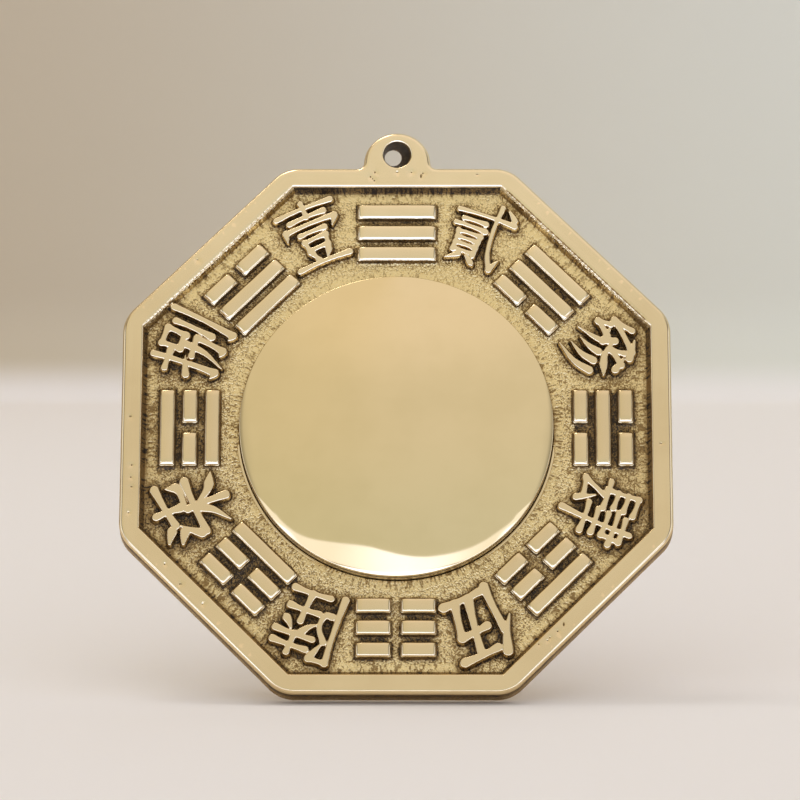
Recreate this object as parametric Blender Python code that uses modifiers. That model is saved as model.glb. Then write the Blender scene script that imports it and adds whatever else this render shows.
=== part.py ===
"""Octagonal cast brass wall mirror with a domed round mirror, trigram bars and a hanging lug.

The plaque is drawn lying flat: X to the right, Y up the plaque and Z out of its face, with the
origin at the centre of its back. An empty then stands it upright, so that it faces -Y.
"""

import math

import bmesh
import bpy
from mathutils import Vector

# Driving sizes, in metres

# Octagonal plate, measured at its back
ACROSS_FLATS = 0.1000
PLATE_THICKNESS = 0.0045
CORNER_RADIUS = 0.0065
SIDE_DRAFT = 0.0001
EDGE_ROUNDING = 0.0009

# Recess behind the raised rim
RIM_WIDTH = 0.0038
RECESS_DEPTH = 0.0020
RECESS_DRAFT = 0.0006
INNER_EDGE_BREAK = 0.00035

# Hanging lug on the top side, with its hand-drilled hole
LUG_RISE = 0.0070
LUG_RADIUS = 0.0062
LUG_FOOT_FILLET = 0.0011
LUG_CROWN_WALL = 0.0019
HOLE_RADIUS = 0.00255
HOLE_TAPER = 0.0010
HOLE_LEAN = 0.0008
HOLE_CLIMB = 0.0009

# Domed mirror disc and its round seat in the plate
MIRROR_RADIUS = 0.02845
MIRROR_WALL = 0.0023
MIRROR_EDGE_ROUNDING = 0.0006
MIRROR_BACK_CHAMFER = 0.0002
DOME_RADIUS = 0.0800
SEAT_DEPTH = 0.0012
SEAT_CLEARANCE = 0.0003
BOND_THICKNESS = 0.00025
BOND_INSET = 0.0010

# Trigram bars, measured round their polished tops
BAR_LENGTH = 0.0144
BAR_WIDTH = 0.0026
BAR_HEIGHT = 0.0016
BAR_PITCH = 0.0041
BAR_BREAK = 0.0018
BAR_DRAFT = 0.00045
BAR_ROUNDING = 0.00035
BAR_ROOT = 0.0005

# How far a cutter runs past the surface that it cuts
OVERRUN = 0.0010

# How near two points of a turned surface lie when they are one point
MERGE_DISTANCE = 0.00001

# Counts
SIDES = 8
CORNER_STEPS = 5
LUG_STEPS = 20
FILLET_STEPS = 4
HOLE_STEPS = 32
ROUND_STEPS = 96
DOME_STEPS = 9
ROUNDING_STEPS = 4
BAR_ROUNDING_STEPS = 2

# Finishes: colour, metallic value and roughness
CAST_BRASS = ((0.62, 0.47, 0.24), 1, 0.38)
POLISHED_BRASS = ((0.69, 0.54, 0.29), 1, 0.12)
RESIN_BOND = ((0.30, 0.28, 0.24), 0, 0.6)

# The eight trigrams clockwise from the top. Each line is read from the mirror outwards,
# and a whole line is True where a broken one is False.
TRIGRAMS = {
    "heaven": (True, True, True),
    "wind": (False, True, True),
    "water": (False, True, False),
    "mountain": (False, False, True),
    "earth": (False, False, False),
    "thunder": (True, False, False),
    "fire": (True, False, True),
    "lake": (True, True, False),
}

# Derived sizes

APOTHEM = ACROSS_FLATS / 2
CORNER_ANGLE = math.pi / SIDES
FIELD_Z = PLATE_THICKNESS - RECESS_DEPTH
INNER_APOTHEM = APOTHEM - RIM_WIDTH
FIELD_APOTHEM = INNER_APOTHEM - RECESS_DRAFT
LUG_TOP = APOTHEM + LUG_RISE
LUG_CENTRE_Y = LUG_TOP - LUG_RADIUS
HOLE_Y = LUG_TOP - LUG_CROWN_WALL - HOLE_RADIUS
SEAT_RADIUS = MIRROR_RADIUS + SEAT_CLEARANCE
SEAT_Z = FIELD_Z - SEAT_DEPTH
BOND_Z = SEAT_Z + SEAT_CLEARANCE
MIRROR_BACK_Z = BOND_Z + BOND_THICKNESS + SEAT_CLEARANCE
TRIGRAM_RADIUS = (SEAT_RADIUS + INNER_APOTHEM) / 2


def arc(centre_x, centre_y, radius, start, end, steps):
    """Points along an arc, from the start angle to the end angle, both ends included."""
    angles = (start + (end - start) * step / steps for step in range(steps + 1))
    return [(centre_x + radius * math.cos(a), centre_y + radius * math.sin(a)) for a in angles]


def plaque_outline(inset):
    """The octagon with round corners and the lug on its top side, moved in by an inset."""
    reach = (APOTHEM - CORNER_RADIUS) / math.cos(CORNER_ANGLE)
    fillet_y = APOTHEM + LUG_FOOT_FILLET
    fillet_x = math.sqrt((LUG_RADIUS + LUG_FOOT_FILLET) ** 2 - (fillet_y - LUG_CENTRE_Y) ** 2)
    lean = math.atan2(fillet_y - LUG_CENTRE_Y, fillet_x)
    lug_radius = LUG_RADIUS - inset
    fillet_radius = LUG_FOOT_FILLET + inset
    right_foot = (fillet_x, fillet_y, fillet_radius, -math.pi / 2, -math.pi + lean)
    left_foot = (-fillet_x, fillet_y, fillet_radius, -lean, -math.pi / 2)
    points = []
    for side in range(SIDES):
        corner = (2 * side + 1) * CORNER_ANGLE
        centre = (reach * math.cos(corner), reach * math.sin(corner))
        start, end = corner - CORNER_ANGLE, corner + CORNER_ANGLE
        points += arc(*centre, CORNER_RADIUS - inset, start, end, CORNER_STEPS)
        if side == 1:
            points += arc(*right_foot, FILLET_STEPS)
            points += arc(0, LUG_CENTRE_Y, lug_radius, lean, math.pi - lean, LUG_STEPS)[1:-1]
            points += arc(*left_foot, FILLET_STEPS)
    return points


def octagon(apothem):
    """The corners of a plain octagon with a flat side at the top."""
    reach = apothem / math.cos(CORNER_ANGLE)
    corners = ((2 * side + 1) * CORNER_ANGLE for side in range(SIDES))
    return [(reach * math.cos(a), reach * math.sin(a)) for a in corners]


def loft(name, sections):
    """A closed mesh through sections of equal point count, each one (height, points)."""
    bm = bmesh.new()
    rings = [[bm.verts.new((x, y, z)) for x, y in points] for z, points in sections]
    bm.faces.new(reversed(rings[0]))
    bm.faces.new(rings[-1])
    for low, high in zip(rings, rings[1:]):
        for i in range(len(low)):
            j = (i + 1) % len(low)
            bm.faces.new((low[i], low[j], high[j], high[i]))
    mesh = bpy.data.meshes.new(name)
    bm.to_mesh(mesh)
    bm.free()
    return mesh


def add_part(name, mesh, finish, collection, stand):
    """An object for one piece of the mirror, carried by the stand, with its own material."""
    colour, metallic, roughness = finish
    material = bpy.data.materials.new(name)
    material.use_nodes = True
    shader = material.node_tree.nodes["Principled BSDF"]
    shader.inputs["Base Color"].default_value = (*colour, 1)
    shader.inputs["Metallic"].default_value = metallic
    shader.inputs["Roughness"].default_value = roughness
    mesh.materials.append(material)
    part = bpy.data.objects.new(name, mesh)
    part.parent = stand
    collection.objects.link(part)
    return part


def add_tool(name, mesh, collection, stand):
    """A helper solid for a Boolean. It isn't a piece of the mirror."""
    tool = bpy.data.objects.new(name, mesh)
    tool.hide_render = True
    tool.display_type = "WIRE"
    tool.parent = stand
    collection.objects.link(tool)
    return tool


def combine(part, tool, operation):
    """Cuts a tool out of a part, or joins the tool to it."""
    boolean = part.modifiers.new(tool.name, "BOOLEAN")
    boolean.operation = operation
    boolean.solver = "EXACT"
    boolean.use_self = operation == "UNION"
    boolean.object = tool


def plate_mesh():
    """The solid plate with its lug: the side wall has draft, and the front edge is marked."""
    back = (0, plaque_outline(0))
    front = (PLATE_THICKNESS, plaque_outline(SIDE_DRAFT))
    mesh = loft("plate", (back, front))
    weights = mesh.attributes.new("bevel_weight_edge", "FLOAT", "EDGE")
    for edge in mesh.edges:
        heights = [mesh.vertices[v].co.z for v in edge.vertices]
        weights.data[edge.index].value = float(min(heights) > FIELD_Z)
    return mesh


def recess_mesh():
    """The drafted octagonal recess, with the small break along the rim's inner edge."""
    break_z = PLATE_THICKNESS - INNER_EDGE_BREAK
    past = INNER_APOTHEM + INNER_EDGE_BREAK + OVERRUN
    sections = (
        (FIELD_Z, octagon(FIELD_APOTHEM)),
        (break_z, octagon(INNER_APOTHEM)),
        (PLATE_THICKNESS + OVERRUN, octagon(past)),
    )
    return loft("recess", sections)


def cylinder(name, radius, low, high):
    """A plain cylinder between two heights."""
    bm = bmesh.new()
    bmesh.ops.create_cone(
        bm,
        cap_ends=True,
        segments=ROUND_STEPS,
        radius1=radius,
        radius2=radius,
        depth=high - low,
    )
    bmesh.ops.translate(bm, verts=bm.verts, vec=(0, 0, (low + high) / 2))
    mesh = bpy.data.meshes.new(name)
    bm.to_mesh(mesh)
    bm.free()
    return mesh


def hole_mesh():
    """The lug's hole: drilled leaning up and to the left, it narrows towards the back."""

    def section(z):
        depth_share = (PLATE_THICKNESS - z) / PLATE_THICKNESS
        radius = HOLE_RADIUS - HOLE_TAPER * depth_share
        centre = (-HOLE_LEAN * depth_share, HOLE_Y + HOLE_CLIMB * depth_share)
        return z, arc(*centre, radius, 0, 2 * math.pi, HOLE_STEPS)[:-1]

    return loft("lug_hole", (section(-OVERRUN), section(PLATE_THICKNESS + OVERRUN)))


def add_bar(bm, length, along, out, turn):
    """One drafted bar with a rounded top, its foot sunk in the field.

    along and out place its middle in an upright trigram, and turn is the trigram's angle.
    """
    height = BAR_HEIGHT + BAR_ROOT
    made = bmesh.ops.create_cube(bm, size=1)["verts"]
    for vert in made:
        top = vert.co.z > 0
        spread = 0 if top else 2 * BAR_DRAFT
        vert.co.x *= length + spread
        vert.co.y *= BAR_WIDTH + spread
        vert.co.z = FIELD_Z - BAR_ROOT + (height if top else 0)
    edges = {edge for vert in made for edge in vert.link_edges}
    upper = [edge for edge in edges if any(vert.co.z > FIELD_Z for vert in edge.verts)]
    rounded = bmesh.ops.bevel(
        bm,
        geom=upper,
        offset=BAR_ROUNDING,
        offset_type="OFFSET",
        segments=BAR_ROUNDING_STEPS,
        profile=0.5,
        affect="EDGES",
    )
    verts = {vert for vert in made if vert.is_valid} | set(rounded["verts"])
    cos, sin = math.cos(turn), math.sin(turn)
    for vert in verts:
        x, y = vert.co.x + along, vert.co.y + out
        vert.co = Vector((x * cos - y * sin, x * sin + y * cos, vert.co.z))


def trigram_mesh():
    """The bars of all eight trigrams, in a ring midway between the mirror and the rim."""
    bm = bmesh.new()
    half_length = (BAR_LENGTH - BAR_BREAK) / 2
    half_along = (half_length + BAR_BREAK) / 2
    for place, lines in enumerate(TRIGRAMS.values()):
        turn = -place * 2 * CORNER_ANGLE
        for line, whole in enumerate(lines):
            out = TRIGRAM_RADIUS + (line - 1) * BAR_PITCH
            if whole:
                add_bar(bm, BAR_LENGTH, 0, out, turn)
            else:
                add_bar(bm, half_length, -half_along, out, turn)
                add_bar(bm, half_length, half_along, out, turn)
    mesh = bpy.data.meshes.new("trigram_bars")
    bm.to_mesh(mesh)
    bm.free()
    return mesh


def build_plaque(parts, tools, stand):
    """The one-piece brass casting: plate, rim, recess, trigram bars, mirror seat and lug."""
    plaque = add_part("cast_plaque", plate_mesh(), CAST_BRASS, parts, stand)
    rounding = plaque.modifiers.new("front_edge", "BEVEL")
    rounding.width = EDGE_ROUNDING
    rounding.segments = ROUNDING_STEPS
    rounding.limit_method = "WEIGHT"
    rounding.offset_type = "OFFSET"
    seat = cylinder("mirror_seat", SEAT_RADIUS, SEAT_Z, PLATE_THICKNESS + OVERRUN)
    combine(plaque, add_tool("recess", recess_mesh(), tools, stand), "DIFFERENCE")
    combine(plaque, add_tool("trigram_bars", trigram_mesh(), tools, stand), "UNION")
    combine(plaque, add_tool("mirror_seat", seat, tools, stand), "DIFFERENCE")
    combine(plaque, add_tool("lug_hole", hole_mesh(), tools, stand), "DIFFERENCE")


def mirror_profile():
    """Half of the disc's turned section as (radius, height), from the dome's top to its back."""
    corner_x = MIRROR_RADIUS - MIRROR_EDGE_ROUNDING
    corner_z = FIELD_Z + MIRROR_WALL
    inner_dome = DOME_RADIUS - MIRROR_EDGE_ROUNDING
    dome_centre_z = corner_z - math.sqrt(inner_dome**2 - corner_x**2)
    edge_angle = math.acos(corner_x / inner_dome)
    dome = arc(0, dome_centre_z, DOME_RADIUS, math.pi / 2, edge_angle, DOME_STEPS)
    rounding = arc(corner_x, corner_z, MIRROR_EDGE_ROUNDING, edge_angle, 0, ROUNDING_STEPS)
    back = [
        (MIRROR_RADIUS, MIRROR_BACK_Z + MIRROR_BACK_CHAMFER),
        (MIRROR_RADIUS - MIRROR_BACK_CHAMFER, MIRROR_BACK_Z),
        (0, MIRROR_BACK_Z),
    ]
    return [(0, dome[0][1])] + dome[1:-1] + rounding + back


def build_mirror(parts, stand):
    """The separately turned and polished disc, with its domed face."""
    bm = bmesh.new()
    verts = [bm.verts.new((x, 0, z)) for x, z in mirror_profile()]
    for start, end in zip(verts, verts[1:]):
        bm.edges.new((start, end))
    mesh = bpy.data.meshes.new("mirror_disc")
    bm.to_mesh(mesh)
    bm.free()
    mirror = add_part("mirror_disc", mesh, POLISHED_BRASS, parts, stand)
    turned = mirror.modifiers.new("turned", "SCREW")
    turned.axis = "Z"
    turned.angle = 2 * math.pi
    turned.steps = ROUND_STEPS
    turned.render_steps = ROUND_STEPS
    turned.use_merge_vertices = True
    turned.merge_threshold = MERGE_DISTANCE
    turned.use_smooth_shade = True


def build_bond(parts, stand):
    """The film of resin that holds the disc in its seat."""
    film = cylinder("mirror_bond", MIRROR_RADIUS - BOND_INSET, BOND_Z, BOND_Z + BOND_THICKNESS)
    add_part("mirror_bond", film, RESIN_BOND, parts, stand)


def main():
    """Clears the scene and builds the three pieces."""
    for old in list(bpy.data.objects):
        bpy.data.objects.remove(old)
    parts = bpy.data.collections.new("bagua_mirror")
    tools = bpy.data.collections.new("shaping_tools")
    for collection in (parts, tools):
        bpy.context.scene.collection.children.link(collection)
    stand = bpy.data.objects.new("upright", None)
    stand.rotation_euler.x = math.pi / 2
    parts.objects.link(stand)
    build_plaque(parts, tools, stand)
    build_bond(parts, stand)
    build_mirror(parts, stand)


main()
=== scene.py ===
"""Looks of the octagonal brass wall mirror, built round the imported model.

The casting is redrawn with its rough walls, its grainy sunk field, the raised bars and the raised
numbers, and the domed mirror is turned again with a finer face. Shapes are worked out in
millimetres with the plaque lying flat: X to the right, Y up the plaque, Z out of its face, and the
origin at the centre of its back. They stand upright, in metres, when they become pieces.
"""

import logging
import math
from dataclasses import dataclass, field
from enum import Enum
from functools import partialmethod
from typing import ClassVar, Iterator, Sequence, Union

import bmesh
import bpy
import numpy as np
from mathutils import Matrix, Vector
from mathutils.geometry import delaunay_2d_cdt


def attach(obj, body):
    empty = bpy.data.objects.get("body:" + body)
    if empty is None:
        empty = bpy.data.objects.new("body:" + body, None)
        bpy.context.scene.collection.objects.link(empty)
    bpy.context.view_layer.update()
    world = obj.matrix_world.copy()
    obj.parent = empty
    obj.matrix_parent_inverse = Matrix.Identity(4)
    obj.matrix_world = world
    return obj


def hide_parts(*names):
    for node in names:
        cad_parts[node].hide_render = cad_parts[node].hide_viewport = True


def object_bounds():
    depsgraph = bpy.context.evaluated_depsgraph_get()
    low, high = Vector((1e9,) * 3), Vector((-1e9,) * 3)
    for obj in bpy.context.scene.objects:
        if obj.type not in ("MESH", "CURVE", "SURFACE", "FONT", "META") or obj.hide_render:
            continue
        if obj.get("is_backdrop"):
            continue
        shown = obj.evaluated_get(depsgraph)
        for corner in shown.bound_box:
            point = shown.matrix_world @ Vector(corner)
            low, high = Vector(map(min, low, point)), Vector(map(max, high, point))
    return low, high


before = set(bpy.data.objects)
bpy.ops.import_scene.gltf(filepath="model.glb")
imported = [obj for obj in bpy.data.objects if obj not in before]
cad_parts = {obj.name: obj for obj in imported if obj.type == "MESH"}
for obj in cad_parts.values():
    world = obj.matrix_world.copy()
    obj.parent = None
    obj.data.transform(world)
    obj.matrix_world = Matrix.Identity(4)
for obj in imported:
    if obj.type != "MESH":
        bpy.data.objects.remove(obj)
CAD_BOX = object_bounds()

LOG = logging.getLogger("bagua_mirror")
SIDES = 8
HALF_SIDE = math.pi / SIDES
MM = 0.001
CELL = 100
FAR = 99.0

Points = np.ndarray
Pair = tuple[float, float]
Triple = tuple[float, float, float]
Four = tuple[float, float, float, float]
Row = tuple[float, ...]
Piece = bpy.types.Object
Material = bpy.types.Material
Socket = bpy.types.NodeSocket
Value = Union[Socket, Triple, float, str]
Wires = dict[str | int, Value]


@dataclass(frozen=True)
class Sizes:
    """The plaque's sizes in millimetres, the same as those of the solids."""

    apothem: float = 50.0
    thickness: float = 4.5
    corner_radius: float = 6.5
    side_draft: float = 0.1
    edge_rounding: float = 0.9
    rim_width: float = 3.8
    recess_depth: float = 2.0
    recess_draft: float = 0.6
    edge_break: float = 0.35
    lug_rise: float = 7.0
    lug_radius: float = 6.2
    foot_fillet: float = 1.1
    crown_wall: float = 1.9
    hole_radius: float = 2.55
    hole_taper: float = 1.0
    hole_lean: float = 0.8
    hole_climb: float = 0.9
    mirror_radius: float = 28.45
    mirror_wall: float = 2.3
    mirror_rounding: float = 0.6
    back_chamfer: float = 0.2
    dome_radius: float = 80.0
    mirror_back: float = 2.15
    seat_clearance: float = 0.3
    bar_length: float = 14.4
    bar_width: float = 2.6
    bar_height: float = 1.6
    bar_pitch: float = 4.1
    bar_break: float = 1.8
    bar_draft: float = 0.45

    @property
    def field_z(self) -> float:
        """Height of the sunk field above the plaque's back."""
        return self.thickness - self.recess_depth

    @property
    def inner_apothem(self) -> float:
        """Distance from the centre to the rim's inner edge."""
        return self.apothem - self.rim_width

    @property
    def foot_apothem(self) -> float:
        """Distance from the centre to the foot of the rim's inner wall."""
        return self.inner_apothem - self.recess_draft

    @property
    def lug_y(self) -> float:
        """Height of the centre of the lug's arc."""
        return self.apothem + self.lug_rise - self.lug_radius

    @property
    def hole_y(self) -> float:
        """Height of the hole's centre at the front."""
        return self.apothem + self.lug_rise - self.crown_wall - self.hole_radius

    @property
    def seat_radius(self) -> float:
        """Radius of the mirror's seat."""
        return self.mirror_radius + self.seat_clearance

    @property
    def trigram_radius(self) -> float:
        """Distance from the centre to the middle row of bars."""
        return (self.seat_radius + self.inner_apothem) / 2


class Line(Enum):
    """The two kinds of line that a trigram is made of."""

    WHOLE = "whole"
    BROKEN = "broken"


WHOLE, BROKEN = Line


class Trigram(Enum):
    """The eight trigrams clockwise from the top, each read from the mirror outwards."""

    HEAVEN = (WHOLE, WHOLE, WHOLE)
    WIND = (BROKEN, WHOLE, WHOLE)
    WATER = (BROKEN, WHOLE, BROKEN)
    MOUNTAIN = (BROKEN, BROKEN, WHOLE)
    EARTH = (BROKEN, BROKEN, BROKEN)
    THUNDER = (WHOLE, BROKEN, BROKEN)
    FIRE = (WHOLE, BROKEN, WHOLE)
    LAKE = (WHOLE, WHOLE, BROKEN)


class Taper(Enum):
    """How the width of a stroke changes from its start to its end."""

    EVEN = "-"
    FALLING = "<"
    SWELLING = ">"
    DROP = "."

    def width(self, share: Points) -> Points:
        """The stroke's width along it, as a share of its nominal width.

        Args:
            share: How far along the stroke each place is, from 0 to 1.

        Returns:
            The width at each place.
        """
        if self is Taper.FALLING:
            return 1.28 - 0.95 * share**1.2
        if self is Taper.SWELLING:
            belly = 0.7
            return 0.5 + 1.25 * np.minimum(share, belly) - 3.2 * np.maximum(share - belly, 0)
        if self is Taper.DROP:
            return 0.5 + 0.85 * share
        waist = 0.45
        return 0.86 + 1.35 * (share - waist) ** 2


# The numbers one to eight in their formal form, in a square of CELL units with its origin at the
# lower left. Each starts with the half width of its strokes in millimetres.
NUMBERS = """
0.55: 7,90 93,92 -;50,101 50,79 -;22,77 78,79 -;11,66 7,52 <;11,65 92,67 -;92,67 84,54 <;
29,54 71,55 -;31,43 34,26 -;31,42 69,44 -;69,44 66,26 -;34,28 67,29 -;37,21 42,11 -;
65,22 58,11 <;2,4 98,6 -

0.51: 5,76 93,80 -;16,65 52,67 -;6,55 56,56 -;14,45 15,15 -;14,44 52,46 -;52,46 51,15 -;
15,35 51,36 -;15,26 51,27 -;15,16 51,17 -;27,11 6,-1 <;40,12 58,1 >;65,100 66,62 73,28 88,4 -;
88,4 96,22 <;76,99 89,88 .

0.62: 46,102 20,85 -;20,85 76,89 -;61,99 84,82 .;24,78 10,63 -;10,63 38,66 -;30,73 43,57 .;
74,78 62,63 -;62,63 90,67 -;82,73 94,57 .;51,73 38,53 4,33 <;51,71 66,51 97,38 >;
57,45 42,36 22,30 <;68,33 48,21 22,15 <;82,22 56,7 16,-1 <

0.58: 18,95 18,48 -;18,94 45,95 -;18,79 43,80 -;18,64 43,65 -;3,48 49,51 -;28,46 8,12 -;
8,12 40,18 -;33,34 47,10 .;73,101 73,-4 -;54,88 89,90 -;89,90 89,63 -;47,75 99,77 -;
54,62 90,63 -;53,46 93,48 -;48,30 98,32 -

0.8: 30,99 19,72 3,50 <;20,68 20,0 -;41,89 93,92 -;66,90 54,8 -;43,54 85,58 -;85,58 79,8 -;
32,4 99,7 -

0.64: 9,95 9,-2 -;9,94 33,96 -;33,96 21,67 <;21,67 35,48 32,30 21,28 -;42,86 92,88 -;
66,99 66,70 -;38,69 96,71 -;58,65 50,54 38,46 <;75,64 84,55 94,49 >;66,50 66,7 -;42,31 92,33 -;
34,4 99,7 -

0.74: 12,97 27,87 .;3,79 18,70 .;5,48 29,72 <;33,79 95,88 -;56,100 56,64 -;
56,64 61,57 78,56 89,59 -;89,59 92,73 <;5,41 95,44 -;50,54 50,-3 -;48,40 32,20 5,3 <;
53,39 70,18 97,5 >

0.64: 3,76 30,78 -;19,99 19,6 -;19,6 7,9 <;2,44 31,55 <;38,95 39,66 -;38,94 63,95 -;
63,95 62,66 -;39,68 62,68 -;34,47 65,50 -;65,50 61,8 -;61,8 50,9 <;49,62 46,30 31,0 <;
77,89 77,31 -;95,99 95,4 -;95,4 84,7 <
"""


SIZES = Sizes()


def smooth(low: float, high: float, value: Points) -> Points:
    """A soft step from 0 below low to 1 above high, or the other way round if high is lower."""
    share = np.clip((value - low) / (high - low), 0, 1)
    return share * share * (3 - 2 * share)


def turned(angle: float) -> tuple[Points, Points]:
    """The unit vectors outwards and clockwise at an angle from the X axis, in radians."""
    return np.array([math.cos(angle), math.sin(angle)]), np.array([math.sin(angle), -math.cos(angle)])


def upright(points: Points) -> Points:
    """Places that lie flat in millimetres, stood upright in metres."""
    return np.stack([points[:, 0], -points[:, 2], points[:, 1]], 1) * MM


def side_apothem(x: Points, y: Points) -> Points:
    """How far out each place lies, measured square to the octagon's nearest side."""
    angles = np.arange(SIDES) * 2 * HALF_SIDE
    return np.max([x * math.cos(a) + y * math.sin(a) for a in angles], axis=0)


def side_lay(places: Points) -> Points:
    """Each place along, square to and above the octagon's nearest side, in metres.

    Args:
        places: The places, lying flat in millimetres.

    Returns:
        One row of three numbers for each place, which the polishing lines follow.
    """
    side = np.round(np.arctan2(places[:, 1], places[:, 0]) / (2 * HALF_SIDE)) * 2 * HALF_SIDE
    along = places[:, 1] * np.cos(side) - places[:, 0] * np.sin(side)
    square = places[:, 0] * np.cos(side) + places[:, 1] * np.sin(side)
    return np.stack([along + 200 * side, square, places[:, 2]], 1) * MM


class Grain:
    """Smooth noise, the same in each run, for shapes worked out point by point."""

    def __init__(self, seed: int) -> None:
        """Fills the table of values from a number of its own."""
        self.table = np.random.default_rng(seed).random((256, 256)) * 2 - 1

    def at(self, x: Points, y: Points) -> Points:
        """The noise at places one unit of which is one cell of the table.

        Args:
            x: Across.
            y: Up.

        Returns:
            Values from -1 to 1.
        """
        column, row = np.floor(x).astype(int), np.floor(y).astype(int)
        across, up = x - column, y - row
        across, up = across**2 * (3 - 2 * across), up**2 * (3 - 2 * up)
        near, far = column & 255, (column + 1) & 255
        low, high = row & 255, (row + 1) & 255
        start = self.table[near, low] * (1 - across) + self.table[far, low] * across
        end = self.table[near, high] * (1 - across) + self.table[far, high] * across
        return start * (1 - up) + end * up

    def cloud(self, x: Points, y: Points, cell: float) -> Points:
        """Three sizes of noise together.

        Args:
            x: Across.
            y: Up.
            cell: How long the largest cells are.

        Returns:
            Values from -1 to 1.
        """
        total = self.at(x / cell, y / cell)
        total += 0.5 * self.at((0.8 * x - 0.6 * y) * 2 / cell, (0.6 * x + 0.8 * y) * 2 / cell + 31)
        total += 0.25 * self.at((0.6 * x + 0.8 * y) * 4 / cell + 17, (0.6 * y - 0.8 * x) * 4 / cell)
        return total / 1.75

    def worms(self, x: Points, y: Points, cell: float) -> Points:
        """Short crooked ridges.

        Args:
            x: Across.
            y: Up.
            cell: How long the largest cells are.

        Returns:
            1 on the crests and 0 between them.
        """
        bent = 0.35 * self.at(x / cell + 50, y / cell + 9)
        crest = np.abs(self.at(x / cell + bent, y / cell - bent))
        cross = np.abs(self.at((x + y) * 0.72 / cell + 77, (x - y) * 0.72 / cell + bent))
        return np.clip(1 - 2.1 * np.minimum(crest, cross + 0.05), 0, 1)


def shown(name: str, data: bpy.types.ID) -> Piece:
    """Puts data into the scene as a new object, and returns that."""
    bpy.context.scene.collection.objects.link(made := bpy.data.objects.new(name, data))
    return made


def note_on(mesh: bpy.types.Mesh, name: str, values: Points) -> None:
    """Keeps one number or one vector for each vertex of a mesh, by name."""
    kind, entry = ("FLOAT_VECTOR", "vector") if values.ndim == 2 else ("FLOAT", "value")
    mesh.attributes.new(name, kind, "POINT").data.foreach_set(entry, values.astype(np.float32).ravel())


def new_piece(
    name: str,
    places: Points,
    faces: Sequence[Sequence[int]],
    material: Material,
    notes: dict[str, Points] | None = None,
    normals: Points | None = None,
    flat_map: bool = False,
) -> Piece:
    """Makes one finished piece from places that lie flat in millimetres.

    Args:
        name: The piece's name.
        places: One row of three numbers for each vertex.
        faces: The vertices of each face.
        material: The piece's finish.
        notes: Values for each vertex that the finish reads, by name.
        normals: The shading normals, lying flat, or None to let Blender find them.
        flat_map: Whether the piece gets a map laid out as seen from the front.

    Returns:
        The piece's object.
    """
    mesh = bpy.data.meshes.new(name)
    lengths = np.array([len(f) for f in faces])
    corners = np.concatenate([np.asarray(f) for f in faces])
    starts = np.concatenate([[0], np.cumsum(lengths)[:-1]])
    mesh.vertices.add(len(places))
    mesh.loops.add(len(corners))
    mesh.polygons.add(len(starts))
    mesh.vertices.foreach_set("co", upright(places).astype(np.float32).ravel())
    mesh.loops.foreach_set("vertex_index", corners.astype(np.int32))
    mesh.polygons.foreach_set("loop_start", starts.astype(np.int32))
    mesh.update(calc_edges=True)
    mesh.polygons.foreach_set("use_smooth", np.ones(len(starts), bool))
    for key, values in (notes or {}).items():
        note_on(mesh, key, values)
    if flat_map:
        low, high = places[:, :2].min(0), places[:, :2].max(0)
        spread = (places[:, :2] - low) / (high - low).max() * 0.98 + 0.01
        layer = mesh.uv_layers.new(name="OFBake")
        layer.uv.foreach_set("vector", spread[corners].astype(np.float32).ravel())
    mesh.materials.append(material)
    mesh.validate()
    if normals is not None:
        stood = np.stack([normals[:, 0], -normals[:, 2], normals[:, 1]], 1)
        mesh.normals_split_custom_set_from_vertices(stood.tolist())
    return shown(name, mesh)


def settle(piece: Piece, node: str) -> None:
    """Parents a finished piece to the root body, hides the CAD node that it stands for and logs its count of
    faces.

    Args:
        piece: The finished piece.
        node: The CAD node that the piece stands for.
    """
    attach(piece, "root")
    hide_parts(node)
    LOG.info("%s: %d faces", piece.name, len(piece.data.polygons))


class Outline:
    """The plaque's edge seen from the front, as close points with outward normals."""

    def __init__(self, sizes: Sizes, step: float) -> None:
        """Walks round the octagon and its lug anticlockwise.

        Args:
            sizes: The plaque's sizes.
            step: The distance between points.
        """
        reach = (sizes.apothem - sizes.corner_radius) / math.cos(HALF_SIDE)
        foot_y = sizes.apothem + sizes.foot_fillet
        rise = foot_y - sizes.lug_y
        foot_x = math.sqrt((sizes.lug_radius + sizes.foot_fillet) ** 2 - rise**2)
        lean = math.atan2(rise, foot_x)
        arcs = []
        for side in range(SIDES):
            corner = (2 * side + 1) * HALF_SIDE
            centre = (reach * math.cos(corner), reach * math.sin(corner))
            arcs.append((*centre, sizes.corner_radius, corner - HALF_SIDE, corner + HALF_SIDE, 1))
            if side == 1:
                arcs.append((foot_x, foot_y, sizes.foot_fillet, -math.pi / 2, lean - math.pi, -1))
                arcs.append((0, sizes.lug_y, sizes.lug_radius, lean, math.pi - lean, 1))
                arcs.append((-foot_x, foot_y, sizes.foot_fillet, -lean, -math.pi / 2, -1))
        runs = []
        for x, y, radius, start, end, sign in arcs:
            count = max(5, math.ceil(abs(end - start) * radius / step))
            angles = np.linspace(start, end, count + 1)
            way = np.stack([np.cos(angles), np.sin(angles)], 1)
            runs.append((np.array([x, y]) + radius * way, sign * way))
        points, normals = [], []
        for (at, out), (next_at, _) in zip(runs, runs[1:] + runs[:1]):
            points.append(at)
            normals.append(out)
            gap = next_at[0] - at[-1]
            count = math.ceil(np.linalg.norm(gap) / step)
            share = np.arange(1, max(count, 1))[:, None] / max(count, 1)
            points.append(at[-1] + share * gap)
            normals.append(np.repeat(out[-1:], len(share), 0))
        every, out = np.concatenate(points), np.concatenate(normals)
        apart = np.linalg.norm(every - np.roll(every, 1, 0), axis=1) > 1e-6
        self.points, self.normals = every[apart], out[apart]

    def inset(self, depth: Points | float) -> Points:
        """The outline moved inwards by a depth, which may differ from point to point."""
        return self.points - self.normals * np.reshape(depth, (-1, 1))


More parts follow.
